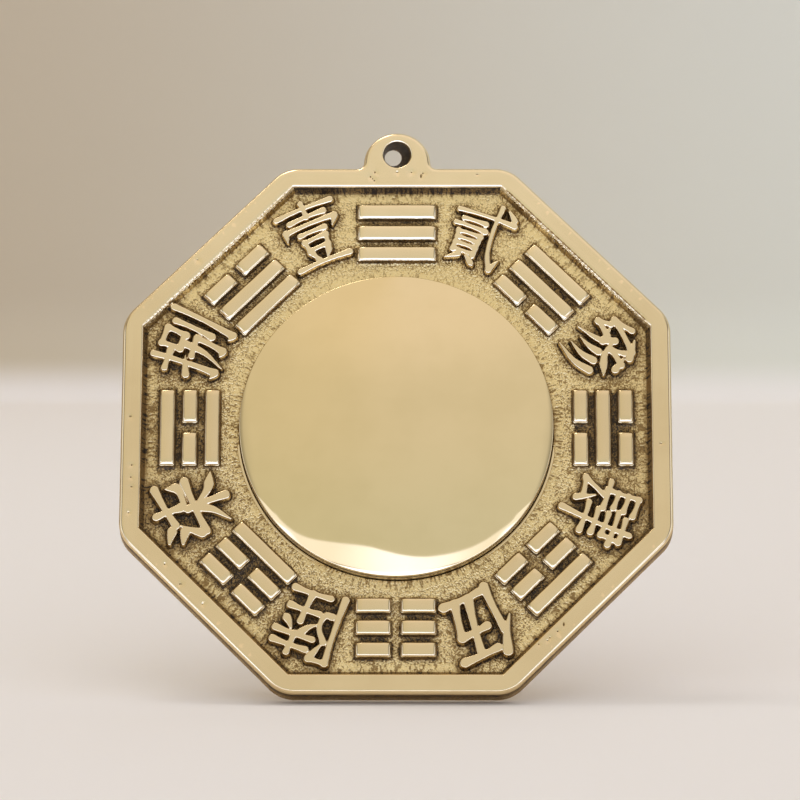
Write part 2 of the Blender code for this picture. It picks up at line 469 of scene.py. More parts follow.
def octagon_loop(apothem: float, step: float) -> Points:
    """Close points round a plain octagon, with its corners among them.

    Args:
        apothem: Distance from the centre to each side.
        step: About how far apart the points are.

    Returns:
        The points, anticlockwise.
    """
    reach = apothem / math.cos(HALF_SIDE)
    angles = (2 * np.arange(SIDES) + 1) * HALF_SIDE
    corners = np.stack([reach * np.cos(angles), reach * np.sin(angles)], 1)
    count = round(2 * SIZES.inner_apothem * math.tan(HALF_SIDE) / step)
    share = np.arange(count)[:, None] / count
    return np.concatenate([a + share * (b - a) for a, b in zip(corners, np.roll(corners, -1, 0))])


def circle_loop(x: float, y: float, radius: float, count: int) -> Points:
    """Points round a circle, anticlockwise."""
    angles = np.arange(count) * 2 * math.pi / count
    return np.stack([x + radius * np.cos(angles), y + radius * np.sin(angles)], 1)


def within(places: Points, loop: Points) -> Points:
    """Which places lie inside a closed loop.

    Args:
        places: The places.
        loop: The loop's points in order.

    Returns:
        True for each place inside.
    """
    inside = np.zeros(len(places), bool)
    for (x0, y0), (x1, y1) in zip(loop, np.roll(loop, -1, 0)):
        if y0 == y1:
            continue
        crosses = (places[:, 1] > y0) != (places[:, 1] > y1)
        at = x0 + (places[:, 1] - y0) * (x1 - x0) / (y1 - y0)
        inside ^= crosses & (places[:, 0] < at)
    return inside


def fill(outer: Points, holes: Sequence[Points], inner: Points) -> tuple[Points, Points]:
    """Triangles that fill a loop round its holes, through the given inner points.

    Args:
        outer: The outer loop.
        holes: The loops that stay open.
        inner: More points between them.

    Returns:
        The points, and the three points of each triangle, anticlockwise.
    """
    loops = [outer, *holes]
    edges, start = [], 0
    for loop in loops:
        count = len(loop)
        edges += [(start + i, start + (i + 1) % count) for i in range(count)]
        start += count
    every = np.concatenate([*loops, inner])
    whole_hull, merge = 0, 1e-7
    points, _, faces, *_ = delaunay_2d_cdt([Vector(p) for p in every], edges, [], whole_hull, merge, False)
    points, faces = np.array([tuple(p) for p in points]), np.array(faces)
    centres = points[faces].mean(1)
    kept = within(centres, outer)
    for hole in holes:
        kept &= ~within(centres, hole)
    faces = faces[kept]
    a, b, c = (points[faces[:, i]] for i in range(3))
    left = (b[:, 0] - a[:, 0]) * (c[:, 1] - a[:, 1]) - (b[:, 1] - a[:, 1]) * (c[:, 0] - a[:, 0])
    faces[left < 0] = faces[left < 0][:, ::-1]
    return points, faces


class Shell:
    """Collects rings and fills of one closed body, then welds them."""

    def __init__(self) -> None:
        """Starts an empty body."""
        self.places: list[Points] = []
        self.faces: list[Points] = []
        self.notes: dict[str, list[Points]] = {"polish": [], "patina": []}
        self.count = 0

    def add(self, places: Points, faces: Points, polish: Points | float, patina: Points | float) -> None:
        """Adds triangles or squares with their own vertices.

        Args:
            places: The vertices.
            faces: The vertices of each face, all of one length.
            polish: How polished each vertex is.
            patina: How dark each vertex is.
        """
        self.faces.append(faces + self.count)
        self.places.append(places)
        self.notes["polish"].append(np.broadcast_to(polish, len(places)))
        self.notes["patina"].append(np.broadcast_to(patina, len(places)))
        self.count += len(places)

    def rings(self, rings: Sequence[Points], polish: Sequence, patina: Sequence) -> None:
        """Adds a wall through rings of equal count, its outside on the right of the way up.

        Args:
            rings: The rings, each with three numbers for each point.
            polish: One value for each ring, or one for each of its points.
            patina: The same for the patina.
        """
        size = len(rings[0])
        low = np.arange(size)
        after = (low + 1) % size
        steps = np.arange(len(rings) - 1)[:, None] * size
        square = np.stack([low + steps, after + steps, after + steps + size, low + steps + size], -1)
        spread = [np.concatenate([np.broadcast_to(v, size) for v in kept]) for kept in (polish, patina)]
        self.add(np.concatenate(rings), square.reshape(-1, 4), *spread)

    def finish(self, name: str, material: Material) -> Piece:
        """Makes the piece and welds what meets.

        Args:
            name: The piece's name.
            material: Its finish.

        Returns:
            The piece.
        """
        faces = [tuple(f) for part in self.faces for f in part]
        notes = {key: np.concatenate(values) for key, values in self.notes.items()}
        every = np.concatenate(self.places)
        notes["lay"] = side_lay(every)
        piece = new_piece(name, every, faces, material, notes)
        bm = bmesh.new()
        bm.from_mesh(piece.data)
        bmesh.ops.remove_doubles(bm, verts=bm.verts, dist=2e-7)
        bmesh.ops.recalc_face_normals(bm, faces=bm.faces)
        bm.to_mesh(piece.data)
        bm.free()
        return piece


def ring(loop: Points, height: Points | float) -> Points:
    """A loop at a height, or at a height for each of its points."""
    return np.column_stack([loop, np.broadcast_to(height, len(loop))])


@dataclass
class Casting:
    """The plaque's body: polished rim, rough side wall, lug with its leaning hole, and back.

    The back edge is given as height and inset, and a pit as its place across and up the plaque,
    its half width and its half height.
    """

    sizes: Sizes = SIZES
    grain: Grain = Grain(11)
    step: float = 0.34
    back_edge: tuple[Pair, ...] = ((0.0, 0.16), (0.05, 0.05), (0.18, 0.0))
    wall_rings: int = 12
    wall_ends: Pair = (0.45, 0.12)
    roughness: float = 0.09
    sand_cell: float = 0.9
    rounding_rings: int = 10
    edge_land: float = 0.12
    hole_points: int = 72
    hole_lip: float = 0.32
    lip_polish: Row = (1.0, 1.0, 1.0, 0.9, 0.7, 0.4)
    lip_patina: Row = (0.0, 0.0, 0.0, 0.1, 0.4, 0.9)
    hole_rings: int = 10
    hole_polish: float = 0.1
    # The lug hole's wall is darkened past 1, to near black.
    hole_wall_darkness: float = 1.3
    floor_z: float = 1.35
    worn_width: float = 0.42
    worn_shares: Row = (-0.25, 0.0, 0.15, 0.3, 0.45, 0.6, 0.8, 1.0)
    worn_azimuths: Four = (22.6, 25.0, 65.0, 67.4)
    bead_length: float = 0.26
    bead_dent: float = 0.05
    groove_right: float = 0.9
    groove_left: float = 0.25
    rolled: Pair = (0.035, 3)
    face_waves: Pair = (0.01, 7.0)
    back_waves: Pair = (0.035, 3.0)
    pit_drop: float = 0.15
    pits: tuple[Four, ...] = (
        (-4.9, 48.1, 0.17, 0.17), (-4.5, 47.72, 0.13, 0.13), (-4.2, 47.35, 0.16, 0.15),
        (-4.1, 49.0, 0.13, 0.24), (4.4, 48.25, 0.17, 0.42), (4.75, 48.8, 0.12, 0.18),
        (0.0, 49.05, 0.3, 0.1), (2.65, 49.0, 0.14, 0.12), (30.0, -37.1, 0.2, 0.42),
        (28.9, -38.4, 0.16, 0.16), (27.5, -39.6, 0.15, 0.15), (27.1, -40.1, 0.12, 0.12),
        (25.5, -40.8, 0.14, 0.14), (-47.8, -7.4, 0.14, 0.18), (-47.9, -9.7, 0.15, 0.15),
        (-47.8, -11.5, 0.13, 0.16), (-48.3, 1.8, 0.1, 0.22), (-48.2, -16.4, 0.12, 0.11),
        (-41.5, -26.0, 0.16, 0.12), (-38.7, -29.7, 0.11, 0.17), (-34.6, -33.4, 0.14, 0.1),
        (-36.6, 31.9, 0.1, 0.1), (14.8, 48.6, 0.32, 0.07), (47.9, -3.3, 0.1, 0.12),
    )

    def side_rings(self, outline: Outline) -> tuple[list[Points], list[float], list[float]]:
        """The rings from the back edge up the rough wall and over the rounded front edge.

        Args:
            outline: The plaque's outline.

        Returns:
            The rings, their polish and their patina.
        """
        s = self.sizes
        shoulder = s.thickness - s.edge_rounding
        rows = [(inset, z, 0.0, 0.5) for z, inset in self.back_edge]
        along = np.arange(len(outline.points)) * self.step
        for z in np.linspace(self.wall_ends[0], shoulder - self.wall_ends[1], self.wall_rings):
            bumps = self.grain.cloud(along, np.full_like(along, z * 1.4), self.sand_cell)
            rough = self.roughness * (0.55 + 0.45 * bumps + 0.55 * np.clip(bumps, 0, 1) ** 2)
            dark = 0.55 + 0.55 * float(smooth(1.2, 2.6, np.array(z)))
            rows.append((s.side_draft * z / s.thickness + rough, z, 0.0, dark))
        start = s.side_draft * shoulder / s.thickness
        run = s.side_draft + s.edge_rounding - start
        for angle in np.linspace(0, math.pi / 2, self.rounding_rings):
            polish, dark = float(smooth(0.0, 0.3, angle)), float(smooth(0.32, 0.05, angle))
            inset, z = start + run * (1 - math.cos(angle)), shoulder + s.edge_rounding * math.sin(angle)
            rows.append((inset, z, polish, dark))
        rows.append((s.side_draft + s.edge_rounding + self.edge_land, s.thickness, 1.0, 0.0))
        rings = [ring(outline.inset(inset), z) for inset, z, _, _ in rows]
        return rings, [row[2] for row in rows], [row[3] for row in rows]

    def lug_hole(self) -> tuple[list[Points], list[float], list[float]]:
        """The rings of the lug's hole, over its rounded lip and down its leaning wall.

        Returns:
            The rings, their polish and their patina.
        """
        s, rings = self.sizes, []
        for angle in np.linspace(0, math.pi / 2, len(self.lip_polish)):
            out = self.hole_lip * (1 - math.sin(angle))
            loop = circle_loop(0, s.hole_y, s.hole_radius + out, self.hole_points)
            rings.append(ring(loop, s.thickness - self.hole_lip * (1 - math.cos(angle))))
        for z in np.linspace(s.thickness - self.hole_lip - 0.3, 0, self.hole_rings):
            share = 1 - z / s.thickness
            radius = s.hole_radius - s.hole_taper * share
            x, y = -s.hole_lean * share, s.hole_y + s.hole_climb * share
            rings.append(ring(circle_loop(x, y, radius, self.hole_points), z))
        polish = [*self.lip_polish, *[self.hole_polish] * self.hole_rings]
        return rings, polish, [*self.lip_patina, *[self.hole_wall_darkness] * self.hole_rings]

    def worn_edge(self) -> tuple[list[Points], list]:
        """The rings of the rim's inner edge, broader and beaded on the two upper slanting sides.

        Returns:
            The rings from the face down to the body's hidden floor, and their patina.
        """
        s = self.sizes
        loop = octagon_loop(s.inner_apothem, self.step / 2)
        run = np.arange(len(loop)) * self.step / 2
        azimuth = np.abs(np.degrees(np.arctan2(loop[:, 0], loop[:, 1])))
        start, full, fading, end = self.worn_azimuths
        slanting = smooth(start, full, azimuth) * smooth(end, fading, azimuth)
        beads = smooth(-0.2, 0.3, Grain(29).at(run / self.bead_length, np.full_like(run, 3.3)))
        groove = np.where(loop[:, 0] > 0, self.groove_right, self.groove_left)
        groove = slanting * (0.6 + 0.4 * beads) * groove
        rings, patina = [], []
        for share in self.worn_shares:
            angle = max(share, 0) * math.pi / 2
            out = (1 - math.sin(angle)) * 0.6 + (1 - share) * 0.4
            drop = (1 - math.cos(angle)) * 0.6 + max(share, 0) * 0.4
            wide = (s.edge_break + self.worn_width * slanting) * out
            dent = self.bead_dent * (1 - beads) * slanting * math.sin(max(share, 0) * math.pi)
            places = loop * (1 + wide / s.inner_apothem)[:, None]
            rings.append(ring(places, s.thickness - s.edge_break * drop - dent))
            patina.append(groove * (0.4 < share < 0.7))
        return [*rings, ring(loop, self.floor_z)], [*patina, 1.0]

    def pit_depth(self, places: Points) -> Points:
        """How deep the cast pits are.

        Args:
            places: Points of the face.

        Returns:
            The depth at each point.
        """
        depth = np.zeros(len(places))
        for x, y, wide, tall in self.pits:
            away = np.hypot((places[:, 0] - x) / wide, (places[:, 1] - y) / tall)
            depth += self.pit_drop * np.clip(1 - away**2, 0, 1)
        return depth

    def pit_points(self) -> Points:
        """Extra points of the face, so that each pit has a floor and a rim.

        Returns:
            The points.
        """
        points = []
        for x, y, wide, tall in self.pits:
            points.append([[x, y]])
            for share, count in ((0.5, 6), (0.85, 9), (1.12, 10)):
                angles = np.arange(count) * 2 * math.pi / count + share
                oval = (x + wide * share * np.cos(angles), y + tall * share * np.sin(angles))
                points.append(np.stack(oval, 1))
        return np.concatenate(points)

    def scattered(self, outer: Points, holes: Sequence[Points], step: float, seed: int) -> Points:
        """Loose points inside a loop and outside its holes, none of them near an edge.

        Args:
            outer: The outer loop.
            holes: The open loops.
            step: About how far apart the points are.
            seed: The number that moves them.

        Returns:
            The points.
        """
        low, high = outer.min(0), outer.max(0)
        grid = np.stack(np.meshgrid(*(np.arange(a, b, step) for a, b in zip(low, high))), -1).reshape(-1, 2)
        grid = grid + np.random.default_rng(seed).uniform(-0.3, 0.3, grid.shape) * step
        keep = within(grid, outer)
        for hole in holes:
            keep &= ~within(grid, hole)
        grid = grid[keep]
        return grid[self.clearance(grid, np.concatenate([outer, *holes])) > 0.45 * step]

    def clearance(self, places: Points, edge: Points) -> Points:
        """How far each place is from the nearest point of an edge."""
        return np.sqrt([np.min(np.sum((edge - p) ** 2, 1)) for p in places])

    def face(self, shell: Shell, outer: Points, holes: Sequence[Points]) -> None:
        """Adds the hand-polished face: a little rolled towards the outside, wavy and pitted.

        Args:
            shell: The body.
            outer: The face's outer edge.
            holes: Its openings.
        """
        s = self.sizes
        loose = self.scattered(outer, holes, 0.75, 5)
        clear = self.clearance(loose, np.array([pit[:2] for pit in self.pits])) > 0.62
        points, faces = fill(outer, holes, np.concatenate([loose[clear], self.pit_points()]))
        border = np.concatenate([outer, *holes])
        roll, run = self.rolled
        height, cell = self.face_waves
        reach = side_apothem(points[:, 0], points[:, 1]) - s.inner_apothem
        pit = self.pit_depth(points)
        depth = roll * (np.clip(reach, 0, run) / run) ** 2
        depth = depth + height * (1 + self.grain.cloud(points[:, 0], points[:, 1], cell)) + pit
        depth[: len(border)] = 0
        depth *= smooth(0.0, 0.5, self.clearance(points, border))
        dark = np.clip(pit / 0.06, 0, 1)
        shell.add(ring(points, s.thickness - depth), faces, 1 - dark, dark)

    def back(self, shell: Shell, outer: Points, hole: Points) -> None:
        """Adds the flat cast back.

        Args:
            shell: The body.
            outer: The back's edge.
            hole: The hole's edge.
        """
        height, cell = self.back_waves
        points, faces = fill(outer, [hole], self.scattered(outer, [hole], 1.6, 9))
        low = height * (1 + self.grain.cloud(points[:, 0], points[:, 1], cell))
        low[: len(outer) + len(hole)] = 0
        shell.add(ring(points, low), faces[:, ::-1], 0.15, 0.35)

    def build(self, material: Material) -> Piece:
        """Makes the body.

        Args:
            material: Its finish.

        Returns:
            The piece.
        """
        outline, shell = Outline(self.sizes, self.step), Shell()
        side, side_polish, side_patina = self.side_rings(outline)
        hole, hole_polish, hole_wall_darkness = self.lug_hole()
        inner, dark = self.worn_edge()
        shell.rings(side, side_polish, side_patina)
        shell.rings(hole, hole_polish, hole_wall_darkness)
        shell.rings(inner, [1 - 0.8 * d for d in dark], dark)
        floor = inner[-1][:, :2]
        points, faces = fill(floor, [], self.scattered(floor, [], 6.0, 3))
        shell.add(ring(points, self.floor_z), faces, 0.0, 1.0)
        self.face(shell, side[-1][:, :2], [inner[0][:, :2], hole[0][:, :2]])
        self.back(shell, side[0][:, :2], hole[-1][:, :2])
        return shell.finish("casting_body", material)


@dataclass
class Stroke:
    """One brush stroke of a number, as a chain of points that each have a half width."""

    points: Points
    halves: Points

    @classmethod
    def read(cls, text: str, half: float) -> "Stroke":
        """Reads a stroke such as "5,7 30,40 -", its curve drawn through the points.

        Args:
            text: The points and the taper's sign.
            half: The nominal half width in millimetres.

        Returns:
            The stroke, in cell units.
        """
        *pairs, sign = text.split()
        given = np.array([[float(v) for v in pair.split(",")] for pair in pairs])
        if len(given) == 2:
            along = given[1] - given[0]
            bow = np.array([-along[1], along[0]]) * 0.018
            steps = np.linspace(0, 1, 5)[:, None]
            points = given[0] + steps * along + 4 * steps * (1 - steps) * bow
        else:
            ends = np.concatenate([[2 * given[0] - given[1]], given, [2 * given[-1] - given[-2]]])
            points = [given[:1]]
            t = np.linspace(0, 1, 6)[1:, None]
            for a, b, c, d in zip(ends, ends[1:], ends[2:], ends[3:]):
                bend = (2 * a - 5 * b + 4 * c - d) * t**2 + (3 * b - a - 3 * c + d) * t**3
                points.append(0.5 * (2 * b + (c - a) * t + bend))
            points = np.concatenate(points)
        run = np.concatenate([[0], np.cumsum(np.linalg.norm(np.diff(points, axis=0), axis=1))])
        return cls(points, half * Taper(sign).width(run / run[-1]))

    def distance(self, x: Points, y: Points) -> Points:
        """How far outside the stroke each place lies.

        Args:
            x: Across the number.
            y: Up the number.

        Returns:
            The distance, negative inside the stroke.
        """
        best = np.full(x.shape, FAR)
        for start, end, first, last in zip(self.points, self.points[1:], self.halves, self.halves[1:]):
            way = end - start
            share = np.clip(((x - start[0]) * way[0] + (y - start[1]) * way[1]) / (way @ way), 0, 1)
            gap = np.hypot(x - start[0] - share * way[0], y - start[1] - share * way[1])
            best = np.minimum(best, gap - (first + share * (last - first)))
        return best


@dataclass
class Sign:
    """One raised number at a corner of the field, its top outwards."""

    place: int
    radius: float = 40.1
    height: float = 12.7
    narrow: float = 0.8
    reach: float = 8.6
    beyond: float = 9.0
    melt: float = 0.12
    rag: float = 0.045
    rag_cell: float = 1.1
    waver: Grain = Grain(8)
    strokes: list[Stroke] = field(default_factory=list)

    def __post_init__(self) -> None:
        """Reads the number's strokes and brings them to millimetres round its own centre."""
        half, strokes = NUMBERS.split("\n\n")[self.place].split(":")
        unit = self.height / CELL
        for part in strokes.split(";"):
            stroke = Stroke.read(part, float(half))
            share = self.narrow + (1 - self.narrow) * stroke.points[:, 1] / CELL
            x, y = ((stroke.points - CELL / 2) * unit).T
            stroke.points = np.stack([x * share, y], 1)
            self.strokes.append(stroke)

    def distance(self, x: Points, y: Points) -> Points:
        """How far outside the number each place of the field lies.

        Args:
            x: Across the plaque.
            y: Up the plaque.

        Returns:
            The distance, negative on the number.
        """
        out, across = turned(math.pi / 2 + HALF_SIDE - 2 * HALF_SIDE * self.place)
        up = x * out[0] + y * out[1] - self.radius
        right = x * across[0] + y * across[1]
        found = np.full(x.shape, self.beyond)
        near = (np.abs(up) < self.reach) & (np.abs(right) < self.reach)
        if near.any():
            at_x, at_y = right[near], up[near]
            best = np.full(at_x.shape, self.beyond)
            for stroke in self.strokes:
                gap = stroke.distance(at_x, at_y)
                blend = np.clip(0.5 + (best - gap) / (2 * self.melt), 0, 1)
                best = best + (gap - best) * blend - self.melt * blend * (1 - blend)
            found[near] = best + self.rag * self.waver.cloud(at_x + 20 * self.place, at_y, self.rag_cell)
        return found


def blurred(values: Points, reach: int) -> Points:
    """Values spread over their neighbours, twice.

    Args:
        values: A grid of values.
        reach: How many cells each way.

    Returns:
        The spread values.
    """
    for _ in range(2):
        for axis in (0, 1):
            pad = [(reach + 1, reach) if a == axis else (0, 0) for a in (0, 1)]
            total = np.cumsum(np.pad(values, pad, mode="edge"), axis=axis)
            size, window = values.shape[axis], 2 * reach + 1
            high = np.take(total, np.arange(window, window + size), axis=axis)
            low = np.take(total, np.arange(size), axis=axis)
            values = (high - low) / window
    return values


@dataclass
class Field:
    """The sunk field round the mirror, in one piece for each side of the octagon.

    A tuple of eight has a value for each side, clockwise from the top: how dark the rim's wall,
    its foot, the troughs, the breaks between bars and the ground are.
    """

    sizes: Sizes = SIZES
    columns: int = 320
    margin: int = 14
    bottom: float = 1.4
    corner_fade: float = 0.14
    sunk: float = 0.03
    grain_height: float = 0.07
    grain_cell: float = 0.29
    wave_height: float = 0.05
    top_height: float = 0.014
    sign_wall_run: float = 0.3
    bevel_run: float = 0.26
    bevel_share: float = 0.12
    sign_foot: Pair = (0.1, 0.8)
    bar_foot: Pair = (0.3, 0.62)
    wall_rag: Pair = (0.07, 0.05)
    wall_foot: float = 0.12
    bead_height: float = 0.05
    bead_length: float = 0.24
    lip_height: float = 0.095
    lip_run: Pair = (0.38, 0.26)
    lip_right: Four = (95, 105, 138, 150)
    lip_left: Four = (205, 220, 256, 266)
    bar_outline: Pair = (0.26, 0.34)
    bar_halo: Pair = (0.03, 0.24)
    sign_outline: float = 0.8
    sign_halo: float = 0.3
    seat_line: float = 0.14
    seat_halo: float = 0.05
    # How dark the painted shade is on the steep walls of the numbers that don't face down.
    sign_wall_shade_strength: float = 0.55
    stain_gain: Pair = (0.85, 0.75)
    beaded: tuple[int, ...] = (1, 7)
    wall_tones: Row = (1.0, 0.28, 0.8, 0.7, 0.65, 0.7, 0.8, 0.18)
    feet: Row = (0.34, 0.08, 0.28, 0.22, 0.22, 0.26, 0.28, 0.08)
    depths: Row = (0.38, 0.5, 0.95, 0.62, 0.8, 1.15, 0.5, 0.4)
    breaks: Row = (0.36, 0.4, 0.8, 0.42, 0.3, 1.0, 0.46, 0.38)
    stains: Row = (0.02, 0.03, 0.2, 0.13, 0.08, 0.16, 0.21, 0.03)
    grain: Grain = Grain(4)
    fine: Grain = Grain(29)
    signs: list[Sign] = field(default_factory=lambda: [Sign(i) for i in range(SIDES)])

    def rows(self) -> tuple[Points, Points]:
        """Where the grid's rows run, close together beside the seat and up the rim's wall.

        Returns:
            The distance from the centre for each row, and how far the row is octagonal.
        """
        s, seat = self.sizes, self.sizes.seat_radius
        start = seat + np.array([-0.45, -0.25, -0.17, -0.08, 0.02, 0.1, 0.18])
        middle = np.linspace(seat + 0.28, s.foot_apothem - 0.45, 168)
        wall = np.linspace(s.foot_apothem - 0.38, s.inner_apothem, 18)
        every = np.concatenate([start, middle, wall, [s.inner_apothem + 0.05]])
        return every, smooth(seat + 0.5, s.foot_apothem - 0.5, every)

    def round_plaque(self, values: Sequence[float], azimuth: Points) -> Points:
        """Values of the eight sides, blended from the middle of one side to the next."""
        return np.interp(azimuth / (360 / SIDES), np.arange(SIDES + 1), (*values, values[0]))

    def build(self, material: Material) -> Iterator[Piece]:
        """Makes the eight pieces, clockwise from the top."""
        for place in range(SIDES):
            yield FieldSide(self, place).build(material)


class FieldSide:
    """One side's piece of the field, worked out on a grid a little wider than the piece."""

    def __init__(self, plan: Field, place: int) -> None:
        """Lays out the grid and measures how far each of its places is from everything.

        Args:
            plan: The whole field.
            place: The side's place, clockwise from the top.
        """
        self.plan, self.place, self.sizes = plan, place, plan.sizes
        self.out, across = turned(math.pi / 2 - 2 * HALF_SIDE * place)
        step = 2 * HALF_SIDE / plan.columns
        turn = (np.arange(-plan.margin, plan.columns + plan.margin + 1) * step - HALF_SIDE)[None, :]
        aside = np.abs(turn)
        radii, octagonal = plan.rows()
        reach = 1 / np.cos(np.where(aside > HALF_SIDE, 2 * HALF_SIDE - aside, aside))
        radius = radii[:, None] * (1 + octagonal[:, None] * (reach - 1))
        self.along, self.square = radius * np.sin(turn), radius * np.cos(turn)
        self.x = self.along * across[0] + self.square * self.out[0]
        self.y = self.along * across[1] + self.square * self.out[1]
        self.azimuth = np.degrees(np.arctan2(self.x, self.y)) % 360
        self.from_seat = radius - self.sizes.seat_radius
        self.apothem = side_apothem(self.x, self.y)
        self.up_wall = self.apothem - self.sizes.foot_apothem
        self.corner = smooth(HALF_SIDE, HALF_SIDE - plan.corner_fade, aside) * np.ones_like(self.x)
        self.bars = self.bar_distance()
        self.signs = np.minimum(*(plan.signs[i % SIDES].distance(self.x, self.y) for i in (place, place + 1)))
        self.top = smooth(0.15, 0.05, self.signs)
        self.lip = self.worn_lip()
        self.climb, self.beads = self.rim_wall()
        self.rough = (1 - self.top) * (1 - smooth(0.3, 1.0, self.climb)) * (1 - smooth(0.0, 0.1, self.lip))
        self.texture = self.sand_print()

    def bar_distance(self) -> Points:
        """How far outside the nearest bar's top each place lies.

        Returns:
            The distance, negative on a bar.
        """
        s, aside = self.sizes, np.abs(self.along)
        best = np.full(aside.shape, FAR)
        for row, line in enumerate(list(Trigram)[self.place].value):
            up = np.abs(self.square - s.trigram_radius - (row - 1) * s.bar_pitch) - s.bar_width / 2
            across = aside - s.bar_length / 2
            if line is BROKEN:
                across = np.maximum(across, s.bar_break / 2 - aside)
            outside = np.hypot(np.maximum(up, 0), np.maximum(across, 0))
            best = np.minimum(best, outside + np.minimum(np.maximum(up, across), 0))
        return best

    def worn_lip(self) -> Points:
        """The worn beaded lip beside the mirror's seat, on its lower left and right.

        Returns:
            The lip's height, from 0 to 1.
        """
        plan, sides = self.plan, []
        for start, full, fading, end in (plan.lip_right, plan.lip_left):
            sides.append(smooth(start, full, self.azimuth) * smooth(end, fading, self.azimuth))
        beads = 0.8 + 0.2 * plan.fine.at(self.azimuth * 2.1, np.full_like(self.x, 5.5))
        reach, run = plan.lip_run
        return np.maximum(0.8 * sides[0], sides[1]) * beads * np.clip((reach - self.from_seat) / run, 0, 1)

    def rim_wall(self) -> tuple[Points, Points]:
        """The ragged wall of the rim, with a beaded crest on the sides that have one.

        Returns:
            How far up the wall each place is, from 0 to 1, and how far it is on a bead.
        """
        plan, x, y = self.plan, self.x, self.y
        run = x * self.out[1] - y * self.out[0]
        rag = plan.wall_rag[0] * plan.fine.at(run / 0.22, self.apothem / 0.8) * self.corner
        rag = rag + plan.wall_rag[1] * plan.grain.cloud(x, y, 0.4)
        climb = self.up_wall + plan.wall_foot + rag * smooth(0.62, 0.2, self.up_wall)
        climb = np.clip(climb / (self.sizes.recess_draft + plan.wall_foot), 0, 1)
        beads = smooth(-0.25, 0.2, plan.fine.at(run / plan.bead_length, np.full_like(x, 3.3))) * self.corner
        crest = smooth(0.35, 0.55, climb) * smooth(1.0, 0.92, climb)
        return climb, beads * crest * (self.place in plan.beaded)

    def sand_print(self) -> Points:
        """The sand's grain: crooked ridges, and strokes square to the walls close to them.

        Returns:
            The grain's height, from about -0.8 to 1.
        """
        plan, x, y = self.plan, self.x, self.y
        cracks = smooth(0.35, 0.85, plan.grain.worms(x, y, plan.grain_cell))
        ridges = 0.38 - 0.75 * cracks + 0.6 * plan.fine.cloud(x, y, 0.24)
        spin = np.arctan2(x, y) * 30
        outer = smooth(2.9, 1.6, self.sizes.inner_apothem - self.apothem) * self.corner
        inner = smooth(2.4, 0.6, self.from_seat)
        round_seat, round_rim = self.strokes(spin, self.from_seat), self.strokes(self.along, self.square)
        comb = np.where(inner > outer, round_seat, round_rim)
        combed = np.maximum(outer, inner)
        wild = 1 + 0.5 * smooth(0.1, 0.8, (x + y) / -57)
        return (ridges * (1 - 0.75 * combed) + (0.12 + comb) * combed) * wild

    def strokes(self, across: Points, away: Points) -> Points:
        """Short ridges and hollows that run away from a wall."""
        broad = self.plan.fine.at(across / 0.27, away / 1.2)
        return 0.48 * broad + 0.36 * self.plan.grain.at(across / 0.19, away / 0.5)

    def height(self) -> Points:
        """The ground with its waves and grain, the raised signs, and the walls that close it.

        Returns:
            The height of each place above the plaque's back.
        """
        plan, s, x, y = self.plan, self.sizes, self.x, self.y
        beaded = self.place in plan.beaded
        rise = (1 - (1 - self.climb) ** 1.7) if beaded else self.climb**1.35
        rise = (s.thickness - s.edge_break - s.field_z) * rise + plan.bead_height * self.beads
        foot, run = plan.bar_foot
        bar_foot = foot * np.clip(1 - np.maximum(self.bars, 0) / run, 0, 1) ** 2
        foot, run = plan.sign_foot
        sign_foot = foot * np.clip(1 - np.maximum(self.signs, 0) / run, 0, 1) ** 2
        wall = (1 - plan.bevel_share) * np.clip(1 - self.signs / plan.sign_wall_run, 0, 1) ** 1.25
        bevel = plan.bevel_share * np.sin(np.clip(-self.signs / plan.bevel_run, 0, 1) * math.pi / 2)
        on_sign = np.maximum(wall + bevel * (self.signs < 0), sign_foot)
        height = s.field_z + plan.wave_height * plan.grain.cloud(x, y, 5.5) * (1 - self.top) + rise + bar_foot
        height = height + on_sign * (s.bar_height - 0.02)
        worn = 1 - 0.4 * smooth(0.6, 0.0, self.bars)
        height = height + self.texture * self.rough * plan.grain_height * worn - plan.sunk
        height = height + plan.lip_height * self.lip
        height = height + self.top * plan.top_height * plan.grain.cloud(x, y, 2.2)
        height = np.where(self.apothem > s.inner_apothem - 1e-6, s.thickness - s.edge_break, height)
        drop = smooth(-0.18, -0.25, self.from_seat)
        return height * (1 - drop) + (plan.bottom + 0.2) * drop

    def darkness(self) -> Points:
        """How thickly patina lies: black in narrow troughs, brown beside relief, thin in the open.

        Returns:
            The darkness at each place.
        """
        plan, place, s = self.plan, self.place, self.sizes
        outward = smooth(-3.0, 4.6, self.apothem - s.trigram_radius)
        crowded = blurred(smooth(0.12, -0.12, np.minimum(self.bars, self.signs)), 12)
        dark = smooth(0.29, 0.46, crowded) * plan.depths[place]
        dark = np.maximum(dark, smooth(0.34, 0.2, self.signs) * plan.sign_outline)
        at_seat, more = plan.bar_outline
        dark = np.maximum(dark, smooth(0.48, 0.28, self.bars) * (at_seat + more * outward))
        at_seat, more = plan.bar_halo
        dark = dark + (at_seat + more * outward) * smooth(1.2, 0.2, self.bars)
        dark = dark + plan.sign_halo * smooth(1.8, 0.2, self.signs)
        dark = dark + plan.seat_line * smooth(0.35, 0.05, self.from_seat)
        dark = dark + plan.seat_halo * smooth(1.6, 0.2, self.from_seat)
        stain, foot = (plan.round_plaque(tones, self.azimuth) for tones in (plan.stains, plan.feet))
        at_seat, more = plan.stain_gain
        dark = dark + 0.05 * plan.grain.cloud(self.x, self.y, 4.5) + stain * (at_seat + more * outward)
        walled = plan.wall_tones[place] * smooth(-0.45, 0.0, self.up_wall)
        walled = walled * (1 - smooth(0.93, 1.0, self.climb))
        if place in plan.beaded:
            walled = walled + 0.3 * smooth(0.4, 0.15, self.climb) * smooth(0.02, 0.12, self.climb)
        dark = np.maximum(dark + foot * smooth(-1.1, 0.1, self.up_wall), walled)
        beyond_ends = np.abs(self.along) - s.bar_length / 2
        beyond_rows = np.abs(self.square - s.trigram_radius) - s.bar_pitch - s.bar_width / 2
